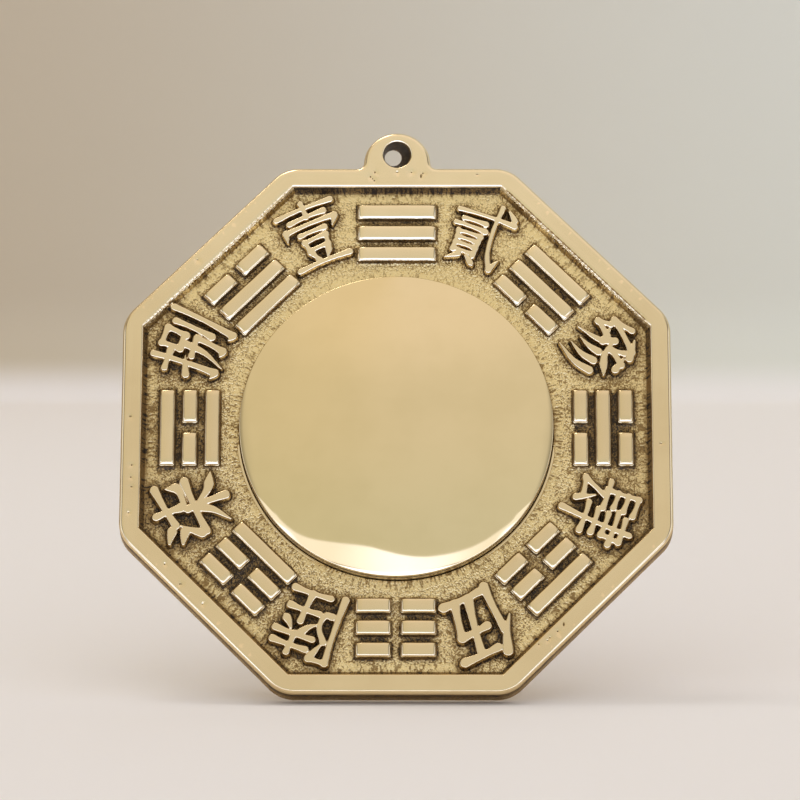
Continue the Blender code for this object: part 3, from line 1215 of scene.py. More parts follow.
        among_bars = smooth(0.0, -0.4, np.maximum(beyond_ends, beyond_rows))
        dark = np.maximum(dark, plan.breaks[place] * among_bars)
        rubbed = (1 - self.top) * (1 - self.beads) * (1 - smooth(0.02, 0.15, self.lip))
        return np.clip(dark * rubbed, 0, 1)

    def build(self, material: Material) -> Piece:
        """Makes the piece.

        Args:
            material: The finish.

        Returns:
            The piece.
        """
        places = np.stack([self.x, self.y, self.height()], -1)
        normal = np.cross(np.gradient(places, axis=1), np.gradient(places, axis=0))
        normal /= np.linalg.norm(normal, axis=-1, keepdims=True)
        normal *= np.sign(normal[..., 2:])
        # Painted shade: steep walls beside the numbers are darkened, except where they face down the plaque.
        sign_wall_shade = smooth(0.1, 0.32, 1 - normal[..., 2]) * smooth(0.3, 0.05, self.signs)
        sign_wall_shade = self.plan.sign_wall_shade_strength * sign_wall_shade * smooth(-0.4, -0.05, normal[..., 1])
        crests = 0.5 * smooth(0.5, 0.95, self.texture) * self.rough
        rubbed = [self.top, self.beads, smooth(0.97, 1.0, self.climb), smooth(0.02, 0.12, self.lip), crests]
        # This note holds the patina together with the painted shade of the number walls.
        notes = {
            "patina": np.maximum(self.darkness(), sign_wall_shade),
            "polish": np.maximum.reduce(rubbed),
            "grit": self.texture * self.rough,
        }
        keep = slice(self.plan.margin, self.plan.margin + self.plan.columns + 1)
        notes = {name: values[:, keep] for name, values in notes.items()}
        return self.slab(places[:, keep], normal[:, keep], notes, material)

    def slab(
        self, places: Points, normal: Points, notes: dict[str, Points], material: Material
    ) -> Piece:
        """Closes a grid of the field into a thin slab.

        Args:
            places: The grid's places.
            normal: The grid's normals.
            notes: What the finish reads at each place.
            material: The finish.

        Returns:
            The piece.
        """
        rows, columns = places.shape[:2]
        index = np.arange(rows * columns).reshape(rows, columns)
        corners = [index[:-1, :-1], index[1:, :-1], index[1:, 1:], index[:-1, 1:]]
        squares = np.stack(corners, -1).reshape(-1, 4)
        border = np.concatenate([index[0, :-1], index[:-1, -1], index[-1, :0:-1], index[:0:-1, 0]])
        flat = places.reshape(-1, 3)
        low = flat[border].copy()
        low[:, 2] = self.plan.bottom
        below = np.arange(len(border)) + len(flat)
        skirt = np.stack([border, np.roll(border, -1), np.roll(below, -1), below], -1)
        faces = [tuple(f) for f in squares] + [tuple(f) for f in skirt] + [tuple(below[::-1])]
        first = flat[squares[0]]
        if np.cross(first[1] - first[0], first[2] - first[0])[2] < 0:
            faces = [f[::-1] for f in faces]
        every = np.concatenate([flat, low])
        shade = np.concatenate([normal.reshape(-1, 3), np.tile([0.0, 0.0, -1.0], (len(low), 1))])
        filled = {key: np.concatenate([v.ravel(), np.ones(len(low))]) for key, v in notes.items()}
        name = f"field_{list(Trigram)[self.place].name.lower()}"
        return new_piece(name, every, faces, material, filled, shade, flat_map=True)


class Board:
    """Adds nodes to a tree and wires them."""

    def __init__(self, tree: bpy.types.NodeTree) -> None:
        """Takes the tree to fill."""
        self.tree = tree

    def feed(self, node: bpy.types.Node, wired: Wires) -> None:
        """Sets a node's inputs.

        Args:
            node: The node.
            wired: A value or a feeding socket for each input's name or number.
        """
        for key, value in wired.items():
            socket = node.inputs[key]
            if isinstance(value, Socket):
                self.tree.links.new(value, socket)
            else:
                socket.default_value = (*value, 1) if socket.type == "RGBA" else value

    def add(self, kind: str, wired: Wires | None = None, **settings: object) -> bpy.types.Node:
        """Adds a node.

        Args:
            kind: The node's type.
            wired: A value or a feeding socket for each input's name or number.
            settings: The node's own properties.

        Returns:
            The node.
        """
        node = self.tree.nodes.new(kind)
        for key, value in settings.items():
            setattr(node, key, value)
        self.feed(node, wired or {})
        return node

    def math(self, operation: str, *terms: Value) -> Socket:
        """A Math node on up to three values."""
        return self.add("ShaderNodeMath", dict(enumerate(terms)), operation=operation).outputs[0]

    # Two values added, subtracted, multiplied and divided, and one without its sign.
    plus = partialmethod(math, "ADD")
    minus = partialmethod(math, "SUBTRACT")
    times = partialmethod(math, "MULTIPLY")
    over = partialmethod(math, "DIVIDE")
    size = partialmethod(math, "ABSOLUTE")

    def vector(self, operation: str, *terms: Value) -> Socket:
        """A Vector Math node's vector."""
        return self.add("ShaderNodeVectorMath", dict(enumerate(terms)), operation=operation).outputs[0]

    # Two vectors added.
    moved = partialmethod(vector, "ADD")

    def scaled(self, vector: Value, amount: Value) -> Socket:
        """A vector times a value."""
        return self.add("ShaderNodeVectorMath", {0: vector, 3: amount}, operation="SCALE").outputs[0]

    def dot(self, first: Value, second: Value) -> Socket:
        """How far one vector reaches along another."""
        return self.add("ShaderNodeVectorMath", {0: first, 1: second}, operation="DOT_PRODUCT").outputs[1]

    def parts(self, vector: Value) -> Sequence[Socket]:
        """A vector's three numbers."""
        return self.add("ShaderNodeSeparateXYZ", {0: vector}).outputs

    def joined(self, x: Value, y: Value, z: Value) -> Socket:
        """The vector of three numbers."""
        return self.add("ShaderNodeCombineXYZ", {0: x, 1: y, 2: z}).outputs[0]

    def step(self, value: Value, low: float, high: float, to_low: float = 0, to_high: float = 1) -> Socket:
        """A soft step from one result to another while a value goes from low to high."""
        wired = {"Value": value, "From Min": low, "From Max": high, "To Min": to_low, "To Max": to_high}
        return self.add("ShaderNodeMapRange", wired, interpolation_type="SMOOTHSTEP").outputs[0]

    def blend(self, share: Value, first: Value, second: Value, way: str = "MIX") -> Socket:
        """Two colours mixed, with this share of the second."""
        wired = {0: share, 6: first, 7: second}
        return self.add("ShaderNodeMix", wired, data_type="RGBA", blend_type=way).outputs[2]

    def noise(self, where: Value, scale: float, detail: float, rough: float) -> Socket:
        """Noise read at a place, with this many cells to a unit and this many finer sizes."""
        wired = {"Vector": where, "Scale": scale, "Detail": detail, "Roughness": rough}
        return self.add("ShaderNodeTexNoise", wired).outputs[0]

    def bump(self, height: Value, strength: float, relief: float) -> Socket:
        """The shading normal of a surface with this relief."""
        wired = {"Height": height, "Strength": strength, "Distance": relief}
        return self.add("ShaderNodeBump", wired).outputs[0]

    def note(self, name: str, part: str = "Fac") -> Socket:
        """A value that the mesh holds by name."""
        return self.add("ShaderNodeAttribute", attribute_name=name).outputs[part]

    def place(self) -> Socket:
        """Where on the object the shader stands."""
        return self.add("ShaderNodeTexCoord").outputs["Object"]


class Effects:
    """The node groups that the finishes share."""

    def __init__(self) -> None:
        """Builds the two groups."""
        self.patina = self.hollow_patina()
        self.rubbed = self.rubbed_brass()

    def group(self, name: str, takes: dict[str, str], gives: dict[str, str]) -> tuple:
        """Starts a node group.

        Args:
            name: The group's name.
            takes: The type of each input, by name.
            gives: The type of each output, by name.

        Returns:
            The board, the sockets that come in, and the node that takes what goes out.
        """
        tree = bpy.data.node_groups.new(name, "ShaderNodeTree")
        for way, sockets in (("INPUT", takes), ("OUTPUT", gives)):
            for label, kind in sockets.items():
                tree.interface.new_socket(name=label, in_out=way, socket_type=f"NodeSocket{kind}")
        board = Board(tree)
        return board, board.add("NodeGroupInput").outputs, board.add("NodeGroupOutput")

    def hollow_patina(self) -> bpy.types.NodeTree:
        """Patina that gathers in hollows, with the painted shade that some pieces add to it: its colour over
        a base colour, and how thick it is.

        Returns:
            The group.
        """
        takes = {"Place": "Vector", "Base": "Color", "Brown": "Color", "Black": "Color"}
        takes |= {"Dark": "Float", "Grit": "Float", "Speckle": "Float"}
        gives = {"Color": "Color", "Amount": "Float", "Height": "Float"}
        board, took, gave = self.group("hollow_patina", takes, gives)
        broad_cells, fine_cells = 420, 3400
        broad = board.noise(took["Place"], broad_cells, 3, 0.6)
        fine = board.noise(took["Place"], fine_cells, 2, 0.6)
        reach = board.times(took["Dark"], board.math("MULTIPLY_ADD", broad, 0.7, 0.65))
        pepper = board.times(board.step(fine, 0.48, 0.58), 0.24)
        valley = board.times(board.step(took["Grit"], 0.14, -0.26), 0.58)
        specks = board.times(board.plus(pepper, valley), took["Speckle"])
        denser = board.math("MULTIPLY_ADD", reach, 0.9, 0.55)
        total = board.plus(reach, board.times(specks, denser))
        browned = board.blend(board.step(total, 0.08, 0.72), took["Base"], took["Brown"])
        blackened = board.blend(board.step(total, 0.85, 1.4), browned, took["Black"])
        board.feed(gave, {"Color": blackened, "Amount": board.step(total, 0.25, 1.0), "Height": fine})
        return board.tree

    def rubbed_brass(self) -> bpy.types.NodeTree:
        """Hand-polished brass: its colour, clouded and deeper towards the foot, and its wear.

        Returns:
            The group.
        """
        takes = {"Place": "Vector", "Lay": "Vector", "Bright": "Color", "Deep": "Color"}
        takes |= {"Clouding": "Float", "Lower": "Float"}
        gives = {"Color": "Color", "Wear": "Float", "Height": "Float"}
        board, took, gave = self.group("rubbed_brass", takes, gives)
        patch_cells, high, low = 75, 0.044, 0.01
        patches = board.step(board.noise(took["Place"], patch_cells, 3, 0.55), 0.36, 0.66)
        lines = board.noise(took["Lay"], 1, 3, 0.65)
        mixed = board.plus(board.times(patches, 0.7), board.times(lines, 0.7))
        sinking = board.times(board.step(board.parts(took["Place"])[2], high, low), took["Lower"])
        share = board.plus(board.times(mixed, took["Clouding"]), sinking)
        color = board.blend(share, took["Bright"], took["Deep"])
        board.feed(gave, {"Color": color, "Wear": lines, "Height": lines})
        return board.tree


def new_material(name: str) -> tuple[Material, Board, bpy.types.Node]:
    """Starts a material.

    Args:
        name: The material's name.

    Returns:
        The material, its board and its shader.
    """
    material = bpy.data.materials.new(name)
    material.use_nodes = True
    return material, Board(material.node_tree), material.node_tree.nodes["Principled BSDF"]


@dataclass(frozen=True)
class CastBrass:
    """Brass that is polished where the mesh says so, and dark in its hollows and where the mesh paints shade.

    Colours are in linear light. The polishing lines have the fineness of stretch along each axis,
    and follow the mesh's own coordinates where it has them. Relief is in metres.
    """

    name: str
    bright: Triple = (0.91, 0.735, 0.435)
    deep: Triple = (0.745, 0.575, 0.315)
    tan: Triple = (0.87, 0.67, 0.315)
    brown: Triple = (0.3, 0.185, 0.064)
    black: Triple = (0.064, 0.046, 0.028)
    polished: float = 0.13
    rough: float = 0.33
    dull: float = 0.22
    gloss_wear: float = 0.16
    thick_metal: float = 0.65
    clouding: float = 0.3
    lower: float = 0.7
    speckle: float = 1.0
    stretch: Triple = (260, 260, 260)
    lay: str = ""
    even_grit: float | None = None
    specular: float = 0.12
    line_relief: float = 0.05
    bump: float = 0.6
    relief: float = 0.0002

    def build(self, effects: Effects) -> Material:
        """Makes the material.

        Args:
            effects: The shared groups.

        Returns:
            The material.
        """
        material, board, shader = new_material(self.name)
        place, polish = board.place(), board.note("polish")
        lay = board.note(self.lay, "Vector") if self.lay else place
        laid = board.add("ShaderNodeMapping", {"Vector": lay, "Scale": self.stretch}).outputs[0]
        wired = {"Place": place, "Lay": laid, "Bright": self.bright, "Deep": self.deep}
        wired |= {"Clouding": self.clouding, "Lower": self.lower}
        rubbed = board.add("ShaderNodeGroup", wired, node_tree=effects.rubbed).outputs
        unpolished = board.minus(1.0, polish)
        base = board.blend(polish, self.tan, rubbed["Color"])
        wired = {"Place": place, "Base": base, "Brown": self.brown, "Black": self.black}
        wired |= {"Dark": board.note("patina"), "Speckle": board.times(unpolished, self.speckle)}
        wired["Grit"] = board.note("grit") if self.even_grit is None else self.even_grit
        patina = board.add("ShaderNodeGroup", wired, node_tree=effects.patina).outputs
        wear = board.times(board.minus(rubbed["Wear"], 0.5), self.gloss_wear)
        gloss = board.plus(board.step(polish, 0.0, 1.0, self.rough, self.polished), wear)
        lines = board.times(rubbed["Height"], self.line_relief)
        height = board.plus(board.times(patina["Height"], unpolished), lines)
        wired = {
            "Base Color": patina["Color"],
            "Roughness": board.plus(gloss, board.times(patina["Amount"], self.dull)),
            "Metallic": board.step(patina["Amount"], 0.0, 1.0, 1.0, self.thick_metal),
            "Specular IOR Level": self.specular,
            "Normal": board.bump(height, self.bump, self.relief),
        }
        board.feed(shader, wired)
        return material


@dataclass(frozen=True)
class MirrorPolish:
    """The mirror's bright polish, a little clouded, with patina in the seam round its wall."""

    name: str = "mirror_polish"
    bright: Triple = (0.815, 0.64, 0.35)
    deep: Triple = (0.76, 0.595, 0.315)
    brown: Triple = (0.17, 0.105, 0.052)
    black: Triple = (0.04, 0.028, 0.025)
    clouding: float = 0.75
    stretch: Triple = (90, 90, 260)
    gloss: Pair = (0.028, 0.05)
    wave_cells: float = 38
    bump: float = 0.05
    relief: float = 0.0002

    def build(self, effects: Effects) -> Material:
        """Makes the material.

        Args:
            effects: The shared groups.

        Returns:
            The material.
        """
        material, board, shader = new_material(self.name)
        place, dark = board.place(), board.note("patina")
        laid = board.add("ShaderNodeMapping", {"Vector": place, "Scale": self.stretch}).outputs[0]
        wired = {"Place": place, "Lay": laid, "Bright": self.bright, "Deep": self.deep}
        wired |= {"Clouding": self.clouding, "Lower": 0.0}
        rubbed = board.add("ShaderNodeGroup", wired, node_tree=effects.rubbed).outputs
        wired = {"Place": place, "Base": rubbed["Color"], "Brown": self.brown, "Black": self.black}
        wired |= {"Dark": dark, "Grit": 1.0, "Speckle": board.step(dark, 0.1, 0.3)}
        patina = board.add("ShaderNodeGroup", wired, node_tree=effects.patina).outputs
        waves = board.noise(place, self.wave_cells, 1, 0.4)
        wired = {
            "Base Color": patina["Color"],
            "Roughness": board.plus(board.step(rubbed["Wear"], 0.2, 0.8, *self.gloss), dark),
            "Metallic": 1.0,
            "Normal": board.bump(waves, self.bump, self.relief),
        }
        board.feed(shader, wired)
        return material


@dataclass(frozen=True)
class CuredResin:
    """The cured resin under the mirror: dull, faintly cloudy and full of tiny bubbles."""

    name: str = "cured_resin"
    dark: Triple = (0.24, 0.22, 0.17)
    pale: Triple = (0.4, 0.37, 0.29)
    cells: float = 300
    gloss: Pair = (0.45, 0.7)
    bump: float = 0.3
    relief: float = 0.0001

    def build(self) -> Material:
        """Makes the material.

        Returns:
            The material.
        """
        material, board, shader = new_material(self.name)
        cloud = board.noise(board.place(), self.cells, 4, 0.6)
        wired = {
            "Base Color": board.blend(cloud, self.dark, self.pale),
            "Roughness": board.step(cloud, 0.3, 0.7, *self.gloss),
            "Normal": board.bump(cloud, self.bump, self.relief),
        }
        board.feed(shader, wired)
        return material


class BarTree:
    """The Geometry Nodes tree that turns marked points into drafted bars with rolled ends."""

    SIZES = ("Width", "Height", "Root", "Draft", "Rounding", "Roll", "Fall", "Crown", "Waver", "Seed")
    ROLLED_FROM = (0.55, 0.85)
    POLISHED_FROM = (0.8, 0.9)
    DARK_BELOW = (0.93, 0.62)
    SIDES_BELOW = (0.9, 0.6)
    WAVES = 420.0
    SAND = 1900.0

    def __init__(self) -> None:
        """Makes the tree with its named inputs and fills it."""
        self.tree = bpy.data.node_groups.new("trigram_bars", "GeometryNodeTree")
        sockets = [("Points", "INPUT", "Geometry"), *((label, "INPUT", "Float") for label in self.SIZES)]
        sockets += [("Finish", "INPUT", "Material"), ("Bars", "OUTPUT", "Geometry")]
        for label, way, kind in sockets:
            self.tree.interface.new_socket(name=label, in_out=way, socket_type=f"NodeSocket{kind}")
        self.board = Board(self.tree)
        self.took = self.board.add("NodeGroupInput").outputs
        self.half_x = self.named("half_length", "FLOAT")
        self.half_y = self.board.times(self.took["Width"], 0.5)
        self.block()
        self.move(self.placed())
        self.keep_notes()
        self.close()

    def named(self, name: str, kind: str = "FLOAT_VECTOR") -> Socket:
        """A value that the points or the block hold by name."""
        return self.board.add("GeometryNodeInputNamedAttribute", {"Name": name}, data_type=kind).outputs[0]

    def crowded(self, share: Socket) -> Socket:
        """Moves the rows of the block towards its ends."""
        b = self.board
        return b.minus(b.times(share, 1.5), b.times(b.times(b.times(share, share), share), 0.5))

    def core(self, value: Socket, half: Socket) -> Socket:
        """The nearest place on the block's core, a rounding in from its faces."""
        limit = self.board.minus(half, self.took["Rounding"])
        below = self.board.math("MINIMUM", value, limit)
        return self.board.math("MAXIMUM", below, self.board.times(limit, -1.0))

    def drafted(self, value: Socket, half: Socket) -> Socket:
        """Widens the block towards its foot."""
        b = self.board
        spread = b.times(self.took["Draft"], b.minus(1.0, self.level))
        return b.plus(value, b.times(spread, b.over(value, half)))

    def block(self) -> None:
        """Puts a fine block on each point and rounds its upper edges."""
        b, top = self.board, self.took["Height"]
        counts = {"Vertices X": 35, "Vertices Y": 13, "Vertices Z": 9}
        cube = b.add("GeometryNodeMeshCube", {"Size": (2, 2, 2), **counts})
        local = b.add("GeometryNodeInputPosition").outputs[0]
        marked = self.noted(cube.outputs[0], "local", local, "FLOAT_VECTOR")
        wired = {"Points": self.took["Points"], "Instance": marked}
        blocks = b.add("GeometryNodeInstanceOnPoints", wired).outputs[0]
        self.body = b.add("GeometryNodeRealizeInstances", {"Geometry": blocks}).outputs[0]
        local = b.parts(self.named("local"))
        x, y = b.times(self.crowded(local[0]), self.half_x), b.times(self.crowded(local[1]), self.half_y)
        depth = b.times(b.minus(1.0, local[2]), 0.5)
        share = b.minus(1.0, b.math("POWER", depth, 1.5))
        z = b.minus(b.times(share, b.plus(top, self.took["Root"])), self.took["Root"])
        core_z = b.math("MINIMUM", z, b.minus(top, self.took["Rounding"]))
        inner = b.joined(self.core(x, self.half_x), self.core(y, self.half_y), core_z)
        self.away = b.vector("NORMALIZE", b.vector("SUBTRACT", b.joined(x, y, z), inner))
        self.round_at = b.moved(inner, b.scaled(self.away, self.took["Rounding"]))
        self.at = b.parts(self.round_at)
        self.level = b.over(self.at[2], top)

    def placed(self) -> Socket:
        """Drafts, rolls and crowns the bars, and stands each at its own place.

        Returns:
            Where every vertex stands.
        """
        b, at, took = self.board, self.at, self.took
        wide_x = b.times(b.plus(at[0], self.drafted(at[0], self.half_x)), 0.5)
        wide_y = self.drafted(at[1], self.half_y)
        end = b.over(b.plus(b.minus(b.size(at[0]), self.half_x), took["Roll"]), took["Roll"])
        rolled = b.times(b.math("POWER", b.math("MAXIMUM", end, 0.0), 2.4), took["Fall"])
        across = b.over(at[1], self.half_y)
        crowned = b.times(b.times(across, across), took["Crown"])
        sunk = b.times(b.step(self.level, *self.ROLLED_FROM), b.plus(rolled, crowned))
        stood = b.moved(self.named("centre"), b.scaled(self.named("along"), wide_x))
        stood = b.moved(stood, b.scaled(self.named("outwards"), wide_y))
        return b.moved(stood, b.joined(0.0, b.times(b.minus(at[2], sunk), -1.0), 0.0))

    def wander(self, stood: Value, scale: float, amount: Value) -> Socket:
        """Noise that pushes the cast surface about.

        Args:
            stood: Where every vertex stands.
            scale: Cells to a metre.
            amount: How far it pushes.

        Returns:
            The push.
        """
        wired = {"Vector": stood, "W": self.took["Seed"], "Scale": scale, "Detail": 1.0}
        found = self.board.add("ShaderNodeTexNoise", wired, noise_dimensions="4D").outputs["Color"]
        return self.board.scaled(self.board.vector("SUBTRACT", found, (0.5, 0.5, 0.5)), amount)

    def move(self, stood: Socket) -> None:
        """Moves the blocks into place, wavy all over and rough down their sides."""
        b, waver = self.board, self.took["Waver"]
        rough = b.times(b.times(waver, 2.6), b.step(self.level, *self.SIDES_BELOW))
        stood = b.moved(stood, self.wander(stood, self.WAVES, waver))
        stood = b.moved(stood, self.wander(stood, self.SAND, rough))
        self.body = b.add("GeometryNodeSetPosition", {"Geometry": self.body, "Position": stood}).outputs[0]

    def noted(self, body: Value, name: str, value: Value, kind: str = "FLOAT") -> Socket:
        """A body that keeps a value at each vertex by name."""
        wired = {"Geometry": body, "Name": name, "Value": value}
        kept = self.board.add("GeometryNodeStoreNamedAttribute", wired, data_type=kind, domain="POINT")
        return kept.outputs[0]

    def keep_notes(self) -> None:
        """Notes polish on the tops, patina below them, and painted shade on the top edges that don't look
        down.
        """
        b = self.board
        out_of = b.parts(self.away)
        faced = b.scaled(self.named("along"), out_of[0])
        faced = b.moved(faced, b.scaled(self.named("outwards"), out_of[1]))
        # Painted shade: the bars' top edges that face up or sideways are darkened; those that face down are
        # left as they are.
        raised = b.step(b.parts(faced)[2], -0.4, -0.05)
        painted_edge_shade = b.times(b.times(b.step(self.level, 0.985, 0.93), raised), 0.5)
        patina = b.math("MAXIMUM", b.times(b.step(self.level, *self.DARK_BELOW), 0.95), painted_edge_shade)
        lay = b.moved(self.round_at, b.scaled(self.named("centre"), 3.0))
        self.body = self.noted(self.body, "polish", b.step(self.level, *self.POLISHED_FROM))
        self.body = self.noted(self.body, "patina", patina)
        self.body = self.noted(self.body, "lay", lay, "FLOAT_VECTOR")

    def close(self) -> None:
        """Drops the marks, smooths the bars, makes them real and gives them their finish."""
        last = self.body
        finish = {"Material": self.took["Finish"]}
        steps = [("RemoveAttribute", {"Name": mark}) for mark in ("local", *Bars.MARKS)]
        steps += [("SetShadeSmooth", {}), ("RealizeInstances", {}), ("SetMaterial", finish)]
        for kind, wired in steps:
            last = self.board.add(f"GeometryNode{kind}", {"Geometry": last, **wired}).outputs[0]
        self.board.feed(self.board.add("NodeGroupOutput"), {"Bars": last})


@dataclass
class Bars:
    """The 36 raised bars of the trigrams, made by one tree, with a share of the solids' draft."""

    MARKS: ClassVar[tuple[str, ...]] = ("centre", "along", "outwards", "half_length")
    sizes: Sizes = SIZES
    root: float = 0.5
    rounding: float = 0.36
    draft_share: float = 0.6
    roll: float = 1.5
    fall: float = 0.36
    crown: float = 0.13
    waver: float = 0.085
    seed: float = 3.0

    def places(self) -> tuple[Points, Points, Points, Points]:
        """Where the bars stand.

        Returns:
            Their centres at the field, their directions along and outwards, and half lengths.
        """
        s = self.sizes
        short = (s.bar_length - s.bar_break) / 2
        aside = (short + s.bar_break) / 2
        kinds = {WHOLE: (s.bar_length, (0.0,)), BROKEN: (short, (-aside, aside))}
        rows = []
        for place, trigram in enumerate(Trigram):
            out, across = turned(math.pi / 2 - 2 * HALF_SIDE * place)
            for row, line in enumerate(trigram.value):
                far = s.trigram_radius + (row - 1) * s.bar_pitch
                length, shifts = kinds[line]
                for shift in shifts:
                    rows.append((*(out * far + across * shift), s.field_z, *across, 0, *out, 0, length / 2))
        table = np.array(rows)
        centres, along, outwards = (upright(table[:, i : i + 3]) for i in (0, 3, 6))
        return centres, along / MM, outwards / MM, table[:, 9] * MM

    def build(self, material: Material) -> Piece:
        """Runs the tree on the marked points and keeps the result as a plain mesh.

        Args:
            material: The finish.

        Returns:
            The piece.
        """
        s, columns = self.sizes, self.places()
        mesh = bpy.data.meshes.new("bar_points")
        mesh.from_pydata(columns[0].tolist(), [], [])
        for name, values in zip(self.MARKS, columns):
            note_on(mesh, name, values)
        marks = shown("bar_points", mesh)
        modifier = marks.modifiers.new("bars", "NODES")
        modifier.node_group = BarTree().tree
        lengths = (s.bar_width, s.bar_height, self.root, s.bar_draft * self.draft_share, self.rounding)
        lengths += (self.roll, self.fall, self.crown, self.waver)
        values = {name: length * MM for name, length in zip(BarTree.SIZES, lengths)}
        values |= {"Seed": self.seed, "Finish": material}
        for item in modifier.node_group.interface.items_tree:
            if item.in_out == "INPUT" and item.name in values:
                modifier[item.identifier] = values[item.name]
        graph = bpy.context.evaluated_depsgraph_get()
        made = bpy.data.meshes.new_from_object(marks.evaluated_get(graph))
        made.name = "trigram_bars"
        bpy.data.objects.remove(marks)
        return shown("trigram_bars", made)


@dataclass
class Mirror:
    """The domed mirror disc, turned with a fine face."""

    sizes: Sizes = SIZES
    steps: int = 256
    dome_steps: int = 44
    bend_steps: int = 10
    wall_steps: int = 8
    edge_rounding: float = 0.26
    sunk: float = 0.002
    wall_patina: float = 0.95
    wall_wear: float = 0.7

    def profile(self) -> Points:
        """Half of the disc's section, from the dome's top to the middle of its back.

        Returns:
            The radius and the height of each point.
        """
        s = self.sizes
        turned_x, turned_r = s.mirror_radius - s.mirror_rounding, s.dome_radius - s.mirror_rounding
        centre_z = s.field_z + s.mirror_wall - math.sqrt(turned_r**2 - turned_x**2) - self.sunk
        corner_x, inner = s.mirror_radius - self.edge_rounding, s.dome_radius - self.edge_rounding
        corner_z = centre_z + math.sqrt(inner**2 - corner_x**2)
        edge = math.acos(corner_x / inner)
        dome = np.linspace(math.pi / 2, edge, self.dome_steps)[1:]
        bend = np.linspace(edge, 0, self.bend_steps)[1:]
        wall_z = np.linspace(corner_z, s.mirror_back + s.back_chamfer, self.wall_steps)[1:]
        runs = (
            (s.dome_radius * np.cos(dome), centre_z + s.dome_radius * np.sin(dome)),
            (corner_x + self.edge_rounding * np.cos(bend), corner_z + self.edge_rounding * np.sin(bend)),
            (np.full_like(wall_z, s.mirror_radius), wall_z),
            ([s.mirror_radius - s.back_chamfer], [s.mirror_back]),
        )
        ends = [[0.0, centre_z + s.dome_radius]], [[0.0, s.mirror_back]]
        return np.concatenate([ends[0], *(np.stack(run, 1) for run in runs), ends[1]])

    def build(self, material: Material) -> Piece:
        """Turns the profile into the disc.

        Args:
            material: The finish.

        Returns:
            The piece.
        """
        s = self.sizes
        top, *profile, back = self.profile()
        rings = [ring(circle_loop(0, 0, radius, self.steps), z) for radius, z in profile]
        places = np.concatenate([*rings, [[0, 0, top[1]], [0, 0, back[1]]]])
        low = np.arange(self.steps)
        after = (low + 1) % self.steps
        faces = []
        for row in range(len(profile) - 1):
            a, b = low + row * self.steps, after + row * self.steps
            faces += list(zip(a, a + self.steps, b + self.steps, b))
        apex, base = len(places) - 2, len(places) - 1
        last = (len(profile) - 1) * self.steps
        faces += [(apex, a, b) for a, b in zip(low, after)]
        faces += [(base, b + last, a + last) for a, b in zip(low, after)]
        on_wall = np.hypot(places[:, 0], places[:, 1]) > s.mirror_radius - 0.02
        below = s.field_z + s.mirror_wall - places[:, 2]
        worn = 1 - self.wall_wear * smooth(0.3, 0.7, below)
        patina = self.wall_patina * smooth(-0.1, 0.3, below) * worn * on_wall
        return new_piece("mirror_disc_polished", places, faces, material, {"patina": patina})


@dataclass(frozen=True)
class Paper:
    """The pale paper of the floor and backdrop, and what of it glows in reflections only.

    A pair holds where a soft edge starts and where it ends, in metres like all of the stage.
    """

    floor: Triple = (0.94, 0.885, 0.84)
    wall_left: Triple = (0.595, 0.5, 0.36)
    wall_right: Triple = (0.785, 0.775, 0.67)
    wall_turn: Pair = (-0.16, 0.16)
    wall_start: Pair = (0.0, 0.012)
    rough: float = 0.9
    strip_sides: Pair = (0.2, 0.14)
    strip_start: Pair = (0.04, 0.08)
    far_start: Pair = (0.8, 1.3)
    hue_turn: Pair = (0.4, 0.8)
    near_hue: Triple = (0.55, 0.8, 1.6)
    far_hue: Triple = (0.45, 0.65, 1.15)
    aside_hue: Triple = (0.25, 0.3, 0.45)
    shine: float = 2.0

    def build(self, studio: "Studio") -> Material:
        """Makes paper that darkens up the backdrop and isn't there from behind.

        Args:
            studio: The stage, for the plaque's lean.

        Returns:
            The material.
        """
        material, board, shader = new_material("studio_paper")
        place = board.place()
        across, ahead = board.parts(place)[0], board.dot(place, studio.ahead())
        wall = board.blend(board.step(across, *self.wall_turn), self.wall_left, self.wall_right)
        tone = board.blend(board.step(board.note("height"), *self.wall_start), self.floor, wall)
        narrow = board.step(board.size(across), *self.strip_sides)
        strip = board.times(board.step(ahead, *self.strip_start), narrow)
        lit = board.times(board.math("MAXIMUM", strip, board.step(ahead, *self.far_start)), self.shine)
        aside = studio.aside(board, board.math("ARCTAN2", across, ahead))
        far = board.blend(aside, self.far_hue, self.aside_hue)
        reflected = board.add("ShaderNodeLightPath").outputs["Is Glossy Ray"]
        wired = {
            "Base Color": tone,
            "Roughness": self.rough,
            "Specular IOR Level": 0.0,
            "Emission Strength": board.times(reflected, lit),
            "Emission Color": board.blend(board.step(ahead, *self.hue_turn), self.near_hue, far),
        }
        board.feed(shader, wired)
        behind = board.add("ShaderNodeNewGeometry").outputs["Backfacing"]
        clear = board.add("ShaderNodeBsdfTransparent").outputs[0]
        both = board.add("ShaderNodeMixShader", {0: behind, 1: shader.outputs[0], 2: clear}).outputs[0]
        board.feed(material.node_tree.nodes["Material Output"], {"Surface": both})
        return material


